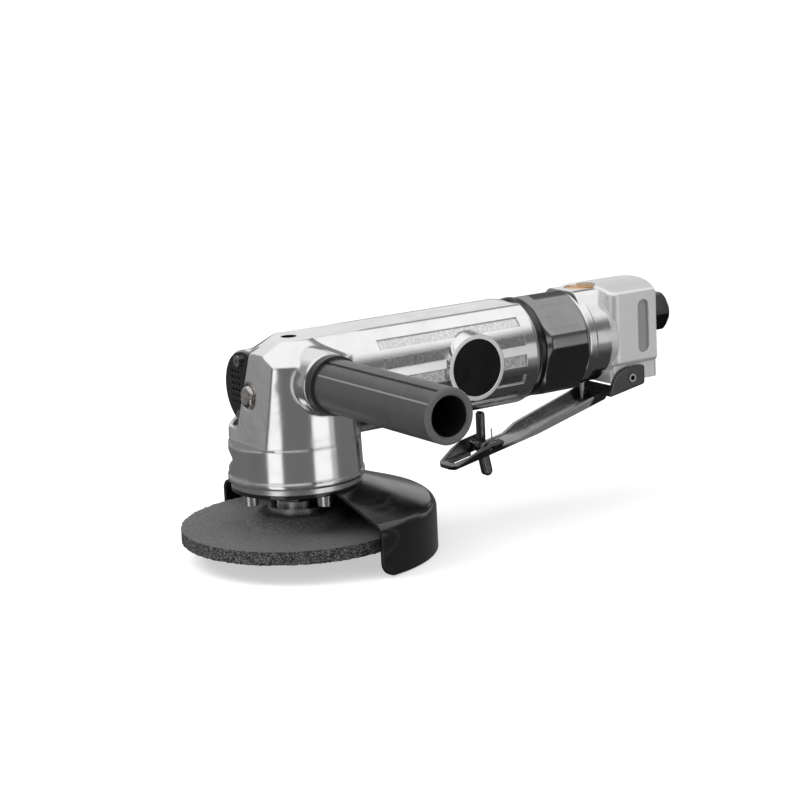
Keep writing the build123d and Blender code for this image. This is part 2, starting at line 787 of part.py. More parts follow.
# Socket screws and spring washers under the cap
with BuildPart() as cap_screws:
    for angle in cap_screw_angles:
        head = screw_plane(angle, washer_bottom)
        rod(head, SCREW_HEAD_R, -SCREW_HEAD_T)
        rod(head, SCREW_R, SCREW_L + WASHER_T)
        hexagon(head.offset(-SCREW_HEAD_T), SOCKET_FLATS, SOCKET_DEPTH, mode=Mode.SUBTRACT)
keep(cap_screws, "cap_screws")

with BuildPart() as lock_washers:
    for angle in cap_screw_angles:
        foot = screw_plane(angle, washer_bottom)
        with BuildSketch(foot):
            Circle(WASHER_R)
            Circle(SCREW_R + GAP / 2, mode=Mode.SUBTRACT)
            with Locations((WASHER_R / 2, 0)):
                Rectangle(WASHER_R, WASHER_SPLIT, mode=Mode.SUBTRACT)
        extrude(amount=WASHER_T)
keep(lock_washers, "lock_washers")

# Sheet guard: a ring under the cap, and a cone and skirt over the rear half of the wheel
guard_fall = atan2(cap_bottom - GUARD_SHOULDER_Z, GUARD_R - GUARD_RING_R)
inner_r = GUARD_R - GUARD_T
inner_shoulder = GUARD_SHOULDER_Z - GUARD_T / cos(guard_fall) + GUARD_T * tan(guard_fall)
start = radians(GUARD_START)
with BuildPart() as wheel_guard:
    section = outline(
        Plane((0, 0, 0), x_dir=(cos(start), sin(start), 0), z_dir=(sin(start), -cos(start), 0)),
        [
            (GUARD_RING_R - GUARD_T, cap_bottom),
            (GUARD_RING_R, cap_bottom),
            (GUARD_R, GUARD_SHOULDER_Z),
            (GUARD_R, GUARD_LIP_Z),
            (inner_r, GUARD_LIP_Z),
            (inner_r, inner_shoulder),
            (GUARD_RING_R - GUARD_T * tan(guard_fall / 2), guard_bottom),
            (GUARD_RING_R - GUARD_T, guard_bottom),
        ],
        (0, 0, GUARD_ROUND, 0, 0, GUARD_ROUND - GUARD_T, 0, 0),
    )
    revolve(section, axis=Axis.Z, revolution_arc=GUARD_SWEEP)
    lip_corners = wheel_guard.edges().filter_by(
        lambda e: e.length < GUARD_T + GAP and e.center().Z < GUARD_LIP_Z + GAP
    )
    fillet(lip_corners, GUARD_CORNER)
    turned(ring_points(guard_hole_r, GUARD_RING_R, guard_bottom, cap_bottom), Axis.Z)
    for angle in cap_screw_angles:
        rod(screw_plane(angle, guard_bottom), SCREW_R + GAP, GUARD_T, Mode.SUBTRACT)
keep(wheel_guard, "wheel_guard")

# Side handle: a plastic tube with a collar, and the bolt at the bottom of its bore
with BuildPart() as side_handle:
    rod(across(0, HANDLE_Z, BOSS_FACE_Y), HANDLE_R, BOSS_FACE_Y - HANDLE_END_Y)
    for i in range(GROOVE_COUNT):
        turn = radians(GROOVE_FIRST + i * 360 / GROOVE_COUNT)
        outward = Vector(cos(turn), 0, sin(turn))
        floor = Vector(0, 0, HANDLE_Z) + outward * (HANDLE_R - GROOVE_DEPTH)
        with BuildSketch(Plane(floor, x_dir=(0, 1, 0), z_dir=outward)):
            with Locations(((BOSS_FACE_Y + HANDLE_END_Y) / 2, 0)):
                Rectangle(FULL, GROOVE_W)
        extrude(amount=HANDLE_R, mode=Mode.SUBTRACT)
    rod(across(0, HANDLE_Z, BOSS_FACE_Y), COLLAR_R, COLLAR_T)
    rod(across(0, HANDLE_Z, HANDLE_END_Y + END_BAND), HANDLE_R, END_BAND)
    rod(across(0, HANDLE_Z, handle_floor_y), HANDLE_BORE_R, FULL, Mode.SUBTRACT)
    rod(across(0, HANDLE_Z, BOSS_FACE_Y), BOLT_R + RUN, HANDLE_FLOOR, Mode.SUBTRACT)
    mouth = side_handle.faces().sort_by(Axis.Y)[0]
    chamfer(mouth.edges(), HANDLE_CHAMFER)
keep(side_handle, "side_handle")

with BuildPart() as handle_bolt:
    hexagon(across(0, HANDLE_Z, handle_floor_y), BOLT_FLATS, BOLT_HEAD_T)
    rod(across(0, HANDLE_Z, handle_floor_y), BOLT_R, -HANDLE_FLOOR - BOLT_REACH)
keep(handle_bolt, "handle_bolt")


def bearing_races(name, axis, place, sizes):
    """Write a ball bearing's outer race, and its inner race with the balls.

    The outline is drawn as (radius, height) and place turns it into the XZ plane.
    """
    bore, outer, width, balls, start = sizes
    wall = (outer - bore) * RING_SHARE
    ball_r = (outer - bore) * BALL_SHARE
    pitch_r = (bore + outer) / 2
    middle = start + width / 2
    with BuildPart() as outer_race:
        turned([place(*p) for p in ring_points(outer - wall, outer, start, start + width)], axis)
        with BuildSketch(Plane.XZ) as track:
            with Locations(place(pitch_r, middle)):
                Circle(ball_r + RUN)
        revolve(track.sketch, axis=axis, mode=Mode.SUBTRACT)
    keep(outer_race, f"{name}_outer")
    with BuildPart() as inner_race:
        turned([place(*p) for p in ring_points(bore, bore + wall, start, start + width)], axis)
        for i in range(balls):
            centre = Plane.XZ.from_local_coords(Vector(*place(pitch_r, middle)))
            with Locations(Location(Vertex(*centre).rotate(axis, i * 360 / balls).center())):
                Sphere(ball_r)
    keep(inner_race, f"{name}_inner")


def upright(r, z):
    """Radius and height about the spindle axis."""
    return (r, z)


def lying(r, x):
    """Radius and distance along the motor axis."""
    return (x, AXIS_Z + r)


small_bearing = (SMALL_BORE_R + SEAT, SMALL_OUTER_R, SMALL_W, SMALL_BALLS)
large_bearing = (LARGE_BORE_R + SEAT, LARGE_OUTER_R, LARGE_W, LARGE_BALLS)
bearing_races("lower_bearing", Axis.Z, upright, (*large_bearing, LOWER_BEARING_Z))
bearing_races("upper_bearing", Axis.Z, upright, (*small_bearing, UPPER_BEARING_Z))
bearing_races("front_bearing", MOTOR_AXIS, lying, (*small_bearing, FRONT_BEARING_X))
bearing_races("rear_bearing", MOTOR_AXIS, lying, (*small_bearing, rear_bearing_x))

# Spindle, with a hexagon for the spanner and steps for the gear and the bearings
gear_seat_end = gear_toe_z + 2 * SEAT + CLIP_T
with BuildPart() as spindle:
    turned(
        [
            (0, THREAD_BOTTOM_Z),
            (THREAD_R, THREAD_BOTTOM_Z),
            (THREAD_R, flange_top),
            (JOURNAL_R, hex_top),
            (JOURNAL_R, JOURNAL_TOP_Z),
            (GEAR_SEAT_R, JOURNAL_TOP_Z),
            (GEAR_SEAT_R, gear_toe_z),
            (GEAR_SEAT_R - CLIP_GROOVE, gear_toe_z),
            (GEAR_SEAT_R - CLIP_GROOVE, gear_seat_end),
            (GEAR_SEAT_R, gear_seat_end),
            (GEAR_SEAT_R, GEAR_SEAT_TOP_Z),
            (WAIST_R, GEAR_SEAT_TOP_Z),
            (WAIST_R, WAIST_TOP_Z),
            (SPINDLE_TIP_R, WAIST_TOP_Z),
            (SPINDLE_TIP_R, SPINDLE_TOP_Z),
            (0, SPINDLE_TOP_Z),
        ],
        Axis.Z,
    )
    hexagon(level(flange_top), HEX_FLATS, HEX_T)
    chamfer(spindle.edges().group_by(Axis.Z)[0], THREAD_BOTTOM_Z)
    with BuildSketch(level(KEY_Z - SEAT)):
        with Locations((GEAR_SEAT_R, 0)):
            Rectangle(KEY_H + 2 * SEAT, KEY_W + 2 * SEAT)
    extrude(amount=KEY_L + 2 * SEAT, mode=Mode.SUBTRACT)
keep(spindle, "spindle")

with BuildPart() as gear_key:
    with BuildSketch(level(KEY_Z)):
        with Locations((GEAR_SEAT_R, 0)):
            Rectangle(KEY_H, KEY_W)
    extrude(amount=KEY_L)
keep(gear_key, "gear_key")

# Split ring in the groove above the gear
with BuildPart() as gear_circlip:
    with BuildSketch(level(gear_toe_z + SEAT)):
        Circle(CLIP_R)
        Circle(GEAR_SEAT_R - CLIP_GROOVE + SEAT, mode=Mode.SUBTRACT)
        mouth_y = CLIP_R * tan(radians(CLIP_OPENING / 2))
        with BuildLine():
            Polyline((0, 0), (-CLIP_R, mouth_y), (-CLIP_R * 2, 0), (-CLIP_R, -mouth_y), close=True)
        make_face(mode=Mode.SUBTRACT)
    extrude(amount=CLIP_T)
keep(gear_circlip, "gear_circlip")


def tooth_outline(virtual_r):
    """A tooth's flat outline, measured sideways and outward from the pitch line."""
    base_r = virtual_r * cos(radians(PRESSURE_ANGLE))
    lead = tan(radians(PRESSURE_ANGLE)) - radians(PRESSURE_ANGLE)
    half_pitch = (pi * MODULE / 2 - BACKLASH) / (2 * virtual_r)
    flank = []
    for i in range(FLANK_STEPS + 1):
        r = virtual_r - DEDENDUM + (ADDENDUM + DEDENDUM) * i / FLANK_STEPS
        lean = acos(min(1, base_r / r))
        half = half_pitch + lead - (tan(lean) - lean)
        flank.append((r * sin(half), r * cos(half) - virtual_r))
    foot = (flank[0][0], flank[0][1] - TOOTH_SINK)
    right = [foot, *flank]
    left = [(-x, y) for x, y in reversed(right)]
    return right + left


def tooth(axis, radial, reach, radius):
    """A straight bevel tooth, ruled from its outer end towards the point where the axes cross."""
    element = (axis * reach + radial * radius) / cone_length
    outward = (radial * reach - axis * radius) / cone_length
    points = tooth_outline(radius * cone_length / reach)
    ends = []
    for share in (1, toe_share):
        pitch_point = Vector(0, 0, AXIS_Z) + element * cone_length * share
        plane = Plane(pitch_point, x_dir=outward.cross(element), z_dir=element)
        ends.append(outline(plane, [(x * share, y * share) for x, y in points]).face())
    loft(ends, ruled=True)


# Bevel gear on the spindle
with BuildPart() as bevel_gear:
    turned(
        [
            (GEAR_SEAT_R + SEAT, JOURNAL_TOP_Z + SEAT),
            (GEAR_HUB_R, JOURNAL_TOP_Z + SEAT),
            (GEAR_HUB_R, GEAR_HUB_TOP_Z),
            (gear_root_r, AXIS_Z - gear_root_drop),
            (gear_root_r * toe_share, gear_toe_z),
            (GEAR_SEAT_R + SEAT, gear_toe_z),
        ],
        Axis.Z,
    )
    for i in range(GEAR_TEETH):
        turn = 2 * pi * i / GEAR_TEETH
        tooth(Vector(0, 0, -1), Vector(cos(turn), sin(turn), 0), pinion_pitch_r, gear_pitch_r)
    with BuildSketch(level(JOURNAL_TOP_Z)):
        with Locations(((GEAR_SEAT_R + KEY_H / 2 + SEAT) / 2, 0)):
            Rectangle(GEAR_SEAT_R + KEY_H / 2 + SEAT, KEY_W + 2 * SEAT)
    extrude(amount=FULL, mode=Mode.SUBTRACT)
keep(bevel_gear, "bevel_gear")

# Bevel pinion on the rotor's shaft, and its nut
pinion_front_x = pinion_root_x * toe_share
pinion_back_x = FRONT_BEARING_X - SEAT
with BuildPart() as bevel_pinion:
    turned(
        [
            lying(PINION_SEAT_R + SEAT, pinion_front_x),
            lying(pinion_root_r * toe_share, pinion_front_x),
            lying(pinion_root_r, pinion_root_x),
            lying(PINION_HUB_R, pinion_back_x),
            lying(PINION_SEAT_R + SEAT, pinion_back_x),
        ],
        MOTOR_AXIS,
    )
    for i in range(PINION_TEETH):
        turn = 2 * pi * (i + 0.5) / PINION_TEETH
        tooth(Vector(1, 0, 0), Vector(0, sin(turn), -cos(turn)), gear_pitch_r, pinion_pitch_r)
keep(bevel_pinion, "bevel_pinion")

nut_front_x = pinion_front_x - SEAT - PINION_NUT_T
with BuildPart() as pinion_nut:
    hexagon(along(nut_front_x), PINION_NUT_FLATS, PINION_NUT_T)
    rod(along(nut_front_x), SHAFT_THREAD_R + SEAT, PINION_NUT_T, Mode.SUBTRACT)
keep(pinion_nut, "pinion_nut")

# Wheel with a raised centre, between a flange above and a pin-spanner nut below
with BuildPart() as inner_flange:
    turned(
        [
            (THREAD_R + SEAT, hub_top - PILOT_DEPTH),
            (WHEEL_BORE_R - RUN, hub_top - PILOT_DEPTH),
            (WHEEL_BORE_R - RUN, hub_top),
            (FLANGE_R, hub_top),
            (FLANGE_R, hub_top + FLANGE_RIM_T),
            (FLANGE_NECK_R, hub_top + FLANGE_RIM_T),
            (FLANGE_NECK_R, flange_top),
            (THREAD_R + SEAT, flange_top),
        ],
        Axis.Z,
    )
keep(inner_flange, "inner_flange")

with BuildPart() as grinding_wheel:
    turned(
        [
            (WHEEL_BORE_R, HUB_RAISE),
            (HUB_R, HUB_RAISE),
            (HUB_R + HUB_SLOPE, 0),
            (WHEEL_R, 0),
            (WHEEL_R, WHEEL_T),
            (HUB_R + HUB_SLOPE, WHEEL_T),
            (HUB_R, hub_top),
            (WHEEL_BORE_R, hub_top),
        ],
        Axis.Z,
    )
keep(grinding_wheel, "grinding_wheel")

with BuildPart() as flange_nut:
    with BuildSketch(level(nut_bottom)):
        Circle(FLANGE_NUT_R)
        Circle(THREAD_R + SEAT, mode=Mode.SUBTRACT)
        with PolarLocations(PIN_HOLE_SPREAD, PIN_HOLES, start_angle=180 / PIN_HOLES):
            Circle(PIN_HOLE_R, mode=Mode.SUBTRACT)
    extrude(amount=FLANGE_NUT_T)
keep(flange_nut, "flange_nut")

# Stator of the vane motor: two end plates, an off-centre cylinder and a dowel through them
bore_plane = along(cylinder_start, AXIS_Z, ECCENTRICITY)
with BuildPart() as front_end_plate:
    turned(shaft_ring(SHAFT_HOLE_R, stator_r, end_plate_x, cylinder_start - SEAT), MOTOR_AXIS)
    turned(shaft_ring(SMALL_OUTER_R + SEAT, PLATE_BOSS_R, FRONT_BEARING_X, end_plate_x), MOTOR_AXIS)
    rod(along(cylinder_start, AXIS_Z, DOWEL_Y), DOWEL_R + SEAT, -DOWEL_DEPTH - GAP, Mode.SUBTRACT)
keep(front_end_plate, "front_end_plate")

with BuildPart() as cylinder_liner:
    rod(along(cylinder_start), stator_r, CYLINDER_L)
    rod(bore_plane, CYLINDER_BORE_R, CYLINDER_L, Mode.SUBTRACT)
    rod(along(cylinder_start, AXIS_Z, DOWEL_Y), DOWEL_R + SEAT, CYLINDER_L, Mode.SUBTRACT)
    for i in range(PORT_COUNT):
        port_x = GALLERY_END_X - PORT_PITCH / 2 - i * PORT_PITCH
        rod(across(port_x, AXIS_Z), PORT_R, -FULL, Mode.SUBTRACT)
keep(cylinder_liner, "cylinder_liner")

with BuildPart() as rear_end_plate:
    turned(shaft_ring(SHAFT_HOLE_R, stator_r, cylinder_end + SEAT, rear_plate_end), MOTOR_AXIS)
    turned(shaft_ring(SMALL_OUTER_R + SEAT, PLATE_BOSS_R, rear_plate_end, rear_bearing_end), MOTOR_AXIS)
    rod(along(cylinder_end, AXIS_Z, DOWEL_Y), DOWEL_R + SEAT, DOWEL_DEPTH + GAP, Mode.SUBTRACT)
    for angle in INTAKE_ANGLES:
        lift = radians(angle)
        port = along(cylinder_end, AXIS_Z + INTAKE_CIRCLE_R * sin(lift), INTAKE_CIRCLE_R * cos(lift))
        rod(port, INTAKE_R, FULL, Mode.SUBTRACT)
keep(rear_end_plate, "rear_end_plate")

with BuildPart() as dowel_pin:
    rod(along(cylinder_start - DOWEL_DEPTH, AXIS_Z, DOWEL_Y), DOWEL_R, CYLINDER_L + 2 * DOWEL_DEPTH)
keep(dowel_pin, "dowel_pin")

# Rotor with its shaft, and the vanes held in their slots
rotor_start = cylinder_start + GAP
rotor_l = CYLINDER_L - 2 * GAP
with BuildPart() as rotor:
    rod(along(rotor_start), ROTOR_R, rotor_l)
    for i in range(VANE_COUNT):
        turn = 2 * pi * i / VANE_COUNT
        outward = Vector(0, cos(turn), sin(turn))
        slot_floor = Vector(rotor_start + rotor_l / 2, 0, AXIS_Z) + outward * (ROTOR_R - VANE_SLOT_DEPTH)
        with BuildSketch(Plane(slot_floor, x_dir=(1, 0, 0), z_dir=outward)):
            Rectangle(rotor_l, VANE_T + 2 * RUN)
        extrude(amount=VANE_SLOT_DEPTH + GAP, mode=Mode.SUBTRACT)
    turned(
        [
            lying(0, nut_front_x - GAP),
            lying(SHAFT_THREAD_R, nut_front_x - GAP),
            lying(SHAFT_THREAD_R, pinion_front_x),
            lying(PINION_SEAT_R, pinion_front_x),
            lying(PINION_SEAT_R, pinion_back_x),
            lying(SHAFT_R, pinion_back_x),
            lying(SHAFT_R, shaft_end_x),
            lying(0, shaft_end_x),
        ],
        MOTOR_AXIS,
    )
keep(rotor, "rotor")

with BuildPart() as rotor_vanes:
    for i in range(VANE_COUNT):
        turn = 2 * pi * i / VANE_COUNT
        outward = Vector(0, cos(turn), sin(turn))
        vane_floor = Vector(rotor_start + rotor_l / 2, 0, AXIS_Z) + outward * (ROTOR_R - GAP - VANE_H)
        with BuildSketch(Plane(vane_floor, x_dir=(1, 0, 0), z_dir=outward)):
            Rectangle(rotor_l, VANE_T)
        extrude(amount=VANE_H)
keep(rotor_vanes, "rotor_vanes")

# Bevelled ring and six-sided collar nut between the two castings
with BuildPart() as clamp_ring:
    turned(
        [
            lying(NECK_R + SEAT, BARREL_END + SEAT),
            lying(RING_R - RING_CHAMFER, BARREL_END + SEAT),
            lying(RING_R, BARREL_END + SEAT + RING_CHAMFER),
            lying(RING_R, nut_x - SEAT - RING_CHAMFER),
            lying(RING_R - RING_CHAMFER, nut_x - SEAT),
            lying(NECK_R + SEAT, nut_x - SEAT),
        ],
        MOTOR_AXIS,
    )
keep(clamp_ring, "clamp_ring")

with BuildPart() as clamp_nut:
    hexagon(along(nut_x), NUT_FLATS, NUT_L, -NUT_TURN)
    turned(
        [
            lying(0, nut_x),
            lying(NUT_ROUND_R - NUT_CHAMFER, nut_x),
            lying(NUT_ROUND_R, nut_x + NUT_CHAMFER),
            lying(NUT_ROUND_R, nut_end - NUT_CHAMFER),
            lying(NUT_ROUND_R - NUT_CHAMFER, nut_end),
            lying(0, nut_end),
        ],
        MOTOR_AXIS,
        Mode.INTERSECT,
    )
    rod(along(nut_x), NECK_R + SEAT, NUT_L, Mode.SUBTRACT)
keep(clamp_nut, "clamp_nut")

# Rear casting: spigot, round waist, block with a crowned top, and the lever's lug
spigot_x = rear_plate_end + GAP
waist_end = STEP_FRONT_X + GAP
ring_end = valve_collar_x + FRONT_RING_L
block_h = BLOCK_CROWN_Z - BLOCK_BOTTOM_Z
deck_rise = DECK_Z - AXIS_Z
with BuildPart() as valve_body:
    with BuildSketch(level(BLOCK_BOTTOM_Z)):
        with BuildLine():
            Polyline(
                (BLOCK_SIDE_X, BLOCK_HALF_W),
                (BLOCK_FRONT_X, BLOCK_HALF_W),
                (BLOCK_FRONT_X, -BLOCK_HALF_W),
                (BLOCK_SIDE_X, -BLOCK_HALF_W),
            )
            ThreePointArc((BLOCK_SIDE_X, -BLOCK_HALF_W), (BLOCK_BACK_X, 0), (BLOCK_SIDE_X, BLOCK_HALF_W))
        make_face()
    extrude(amount=block_h)
    with BuildSketch(along(BLOCK_FRONT_X, 0)) as crowned:
        with BuildLine():
            Polyline(
                (BLOCK_HALF_W, BLOCK_EDGE_Z),
                (BLOCK_HALF_W, BLOCK_BOTTOM_Z),
                (-BLOCK_HALF_W, BLOCK_BOTTOM_Z),
                (-BLOCK_HALF_W, BLOCK_EDGE_Z),
            )
            ThreePointArc((-BLOCK_HALF_W, BLOCK_EDGE_Z), (0, BLOCK_CROWN_Z), (BLOCK_HALF_W, BLOCK_EDGE_Z))
        make_face()
    extrude(amount=FULL, mode=Mode.INTERSECT)
    fillet(valve_body.edges().filter_by(Axis.Z).group_by(Axis.X)[0], BLOCK_FRONT_ROUND)
    fillet(valve_body.edges().group_by(Axis.Z)[-1] + valve_body.edges().group_by(Axis.Z)[0], BLOCK_ROUND)
    # Step under the block, and the lug that carries the lever's pin
    with BuildSketch(level(STEP_BOTTOM_Z, (STEP_FRONT_X + STEP_BACK_X) / 2)):
        RectangleRounded(STEP_BACK_X - STEP_FRONT_X, 2 * STEP_HALF_W, BLOCK_ROUND)
    extrude(amount=BLOCK_BOTTOM_Z - STEP_BOTTOM_Z + BLOCK_ROUND)
    with BuildSketch(level(LUG_BOTTOM_Z, (LUG_FRONT_X + LUG_BACK_X) / 2)):
        Rectangle(LUG_BACK_X - LUG_FRONT_X, 2 * STEP_HALF_W)
    extrude(amount=BLOCK_BOTTOM_Z - LUG_BOTTOM_Z)
    # Round front part, with its air chamber
    turned(
        [
            lying(0, waist_end),
            lying(0, AIR_CHAMBER_END),
            lying(spigot_r - SPIGOT_WALL, AIR_CHAMBER_END),
            lying(spigot_r - SPIGOT_WALL, spigot_x),
            lying(spigot_r, spigot_x),
            lying(spigot_r, NECK_END + GAP),
            lying(NECK_R, NECK_END + GAP),
            lying(NECK_R, valve_collar_x),
            lying(FRONT_RING_R, valve_collar_x),
            lying(FRONT_RING_R, ring_end),
            lying(WAIST_BODY_R, ring_end + FRONT_RING_R - WAIST_BODY_R),
            lying(WAIST_BODY_R, waist_end),
        ],
        MOTOR_AXIS,
        radii=(0, 0, 0, 0, 0, 0, 0, 0, FRONT_RING_ROUND, 0, 0, 0),
    )
    # Deck over the round part, which the regulator is let into, with sides that run into the round
    deck_side = acos(WAIST_BODY_R / sqrt(DECK_HALF_W**2 + deck_rise**2)) + atan2(DECK_HALF_W, deck_rise)
    deck_foot = (WAIST_BODY_R * sin(deck_side), WAIST_BODY_R * cos(deck_side))
    with BuildSketch(along(valve_collar_x + FRONT_RING_ROUND)):
        with BuildLine():
            FilletPolyline(
                (deck_foot[0], 0),
                deck_foot,
                (DECK_HALF_W, deck_rise),
                (-DECK_HALF_W, deck_rise),
                (-deck_foot[0], deck_foot[1]),
                (-deck_foot[0], 0),
                radius=(0, 0, DECK_ROUND, DECK_ROUND, 0, 0),
                close=True,
            )
        make_face()
    extrude(amount=STEP_FRONT_X - valve_collar_x - FRONT_RING_ROUND)
    # Bores along the inlet's axis
    turned(
        [
            (VALVE_CHAMBER_X, INLET_Z),
            (VALVE_CHAMBER_X, INLET_Z + VALVE_CHAMBER_R),
            (SEAT_X, INLET_Z + VALVE_CHAMBER_R),
            (SEAT_X, INLET_Z + SEAT_R + SEAT),
            (bush_front_x, INLET_Z + SEAT_R + SEAT),
            (bush_front_x, INLET_Z + BUSH_THREAD_R + SEAT),
            (bush_end_x, INLET_Z + BUSH_THREAD_R + SEAT),
            (bush_end_x, INLET_Z),
        ],
        INLET_AXIS,
        Mode.SUBTRACT,
    )
    # Air way over the valve, with a riser at each end, and the regulator's stepped bore
    rod(along(AIR_WAY_START, AIR_WAY_Z), AIR_WAY_R, AIR_WAY_END - AIR_WAY_START, Mode.SUBTRACT)
    for riser_x in (AIR_WAY_START + RISER_INSET, AIR_WAY_END - RISER_INSET):
        rod(level(AIR_WAY_Z, riser_x), AIR_WAY_R, INLET_Z - AIR_WAY_Z, Mode.SUBTRACT)
    regulator_seat_z = REGULATOR_TOP_Z - REGULATOR_HEAD_T - SEAT
    rod(level(REGULATOR_FOOT_Z - GAP, STEM_X), REGULATOR_R + RUN, FULL, Mode.SUBTRACT)
    rod(level(regulator_seat_z, STEM_X), REGULATOR_HEAD_R + GAP, FULL, Mode.SUBTRACT)
    # Stem hole with the groove of its ring, pin hole, and plain slots in both side panels
    rod(level(INLET_Z, STEM_X), STEM_R + RUN, -INLET_Z, Mode.SUBTRACT)
    with BuildSketch(Plane.XZ):
        with Locations((STEM_X + STEM_R + RUN + ORING_WIRE_R, STEM_ORING_Z)):
            Circle(ORING_WIRE_R + SEAT)
    revolve(axis=STEM_AXIS, mode=Mode.SUBTRACT)
    rod(across(PIVOT_X, PIVOT_Z, FULL / 2), LEVER_PIN_R + SEAT, FULL, Mode.SUBTRACT)
    for side in (1, -1):
        with BuildSketch(across(PANEL_SLOT_X, PANEL_SLOT_Z, side * (BLOCK_HALF_W - PANEL_SLOT_DEPTH))):
            RectangleRounded(PANEL_SLOT_W, PANEL_SLOT_H, PANEL_SLOT_ROUND)
        extrude(amount=-side * BLOCK_HALF_W, mode=Mode.SUBTRACT)
keep(valve_body, "valve_body")

# Throttle valve: seat, tilting disc on a rod, return spring, push stem and its ring
with BuildPart() as valve_seat:
    rod(along(SEAT_X + SEAT, INLET_Z), SEAT_R, SEAT_T - SEAT)
    rod(along(SEAT_X, INLET_Z), SEAT_HOLE_R, SEAT_T, Mode.SUBTRACT)
keep(valve_seat, "valve_seat")

with BuildPart() as tip_valve:
    rod(along(disc_x, INLET_Z), VALVE_DISC_R, VALVE_DISC_T)
    rod(along(TIP_ROD_END_X, INLET_Z), TIP_ROD_R, disc_x - TIP_ROD_END_X)
keep(tip_valve, "tip_valve")

with BuildPart() as valve_stem:
    rod(level(STEM_FOOT_Z, STEM_X), STEM_R, STEM_TOP_Z - STEM_FOOT_Z)
    fillet(valve_stem.edges(), STEM_ROUND)
keep(valve_stem, "valve_stem")

with BuildPart() as stem_oring:
    with BuildSketch(Plane.XZ):
        with Locations((STEM_X + STEM_R + RUN + ORING_WIRE_R, STEM_ORING_Z)):
            Circle(ORING_WIRE_R)
    revolve(axis=STEM_AXIS)
keep(stem_oring, "stem_oring")


def biarc(start, start_dir, end, end_dir):
    """Two arcs that join a pair of points along a pair of directions."""
    chord = end - start
    both = start_dir + end_dir
    spread = 2 * (1 - start_dir.dot(end_dir))
    reach = sqrt(chord.dot(both) ** 2 + spread * chord.dot(chord))
    arm = (reach - chord.dot(both)) / spread
    near = start + start_dir * arm
    far = end - end_dir * arm
    middle = (near + far) / 2
    TangentArc(start, middle, tangent=start_dir)
    TangentArc(middle, end, tangent=far - near)


def coil_place(frame, radius, pitch, quarter):
    """A point on a coil and the coil's direction there, a number of quarter turns along it."""
    turn = quarter * pi / 2
    rise = pitch / (2 * pi)
    point = frame.from_local_coords(Vector(radius * cos(turn), radius * sin(turn), rise * turn))
    ahead = frame.x_dir * (-radius * sin(turn)) + frame.y_dir * (radius * cos(turn)) + frame.z_dir * rise
    return point, ahead.normalized()


def coil(frame, radius, pitch, first, last):
    """A run of arcs along a coil, from one quarter turn to another."""
    for quarter in range(first, last):
        start, start_dir = coil_place(frame, radius, pitch, quarter)
        end, end_dir = coil_place(frame, radius, pitch, quarter + 1)
        biarc(start, start_dir, end, end_dir)


def wire_gap(path, wire_r, samples, skip):
    """Least gap between lengths of a wire that are at least a given distance apart along it."""
    points = [path @ (i / samples) for i in range(samples + 1)]
    step = int(skip * samples / path.length) + 1
    pairs = ((a, b) for i, a in enumerate(points) for b in points[i + step :])
    return min((a - b).length for a, b in pairs) - 2 * wire_r


spring_start = disc_end + GAP + VALVE_WIRE_R
spring_pitch = (bush_front_x - GAP - VALVE_WIRE_R - spring_start) / VALVE_SPRING_TURNS
spring_frame = along(spring_start, INLET_Z)
with BuildPart() as valve_spring:
    with BuildLine() as spring_path:
        coil(spring_frame, VALVE_SPRING_R, spring_pitch, 0, 4 * VALVE_SPRING_TURNS)
    with BuildSketch(Plane(spring_path.line @ 0, z_dir=spring_path.line % 0)):
        Circle(VALVE_WIRE_R)
    sweep()
keep(valve_spring, "valve_spring")
valve_gap = wire_gap(spring_path.wire(), VALVE_WIRE_R, WIRE_SAMPLES, 2 * VALVE_SPRING_R)
print(f"valve_spring least gap to itself {valve_gap:.2f} mm")

# Air inlet: bushing with a thread on both sides, and a screen inside
thread_x = bush_end_x - INLET_DEPTH
with BuildPart() as inlet_bushing:
    hexagon(along(BLOCK_BACK_X + GAP, INLET_Z), BUSH_FLATS, bush_end_x - BLOCK_BACK_X - GAP)
    turned(
        [
            (BLOCK_BACK_X + GAP, INLET_Z),
            (BLOCK_BACK_X + GAP, INLET_Z + BUSH_ROUND_R),
            (bush_end_x - BUSH_CHAMFER, INLET_Z + BUSH_ROUND_R),
            (bush_end_x, INLET_Z + BUSH_ROUND_R - BUSH_CHAMFER),
            (bush_end_x, INLET_Z),
        ],
        INLET_AXIS,
        Mode.INTERSECT,
    )
    rod(along(bush_front_x + SEAT, INLET_Z), BUSH_THREAD_R, BLOCK_BACK_X + GAP - bush_front_x)
    rod(along(bush_front_x, INLET_Z), BUSH_BORE_R, FULL, Mode.SUBTRACT)
    rod(along(thread_x, INLET_Z), INLET_R, INLET_DEPTH, Mode.SUBTRACT)
    rod(along(thread_x, INLET_Z), SCREEN_R + SEAT, -SCREEN_T - 2 * SEAT, Mode.SUBTRACT)
keep(inlet_bushing, "inlet_bushing")

with BuildPart() as inlet_screen:
    with BuildSketch(along(thread_x - SEAT - SCREEN_T, INLET_Z)):
        Circle(SCREEN_R)
        with HexLocations(SCREEN_PITCH / 2, SCREEN_ROWS, SCREEN_ROWS, major_radius=False):
            Circle(SCREEN_HOLE_R, mode=Mode.SUBTRACT)
    extrude(amount=SCREEN_T)
keep(inlet_screen, "inlet_screen")

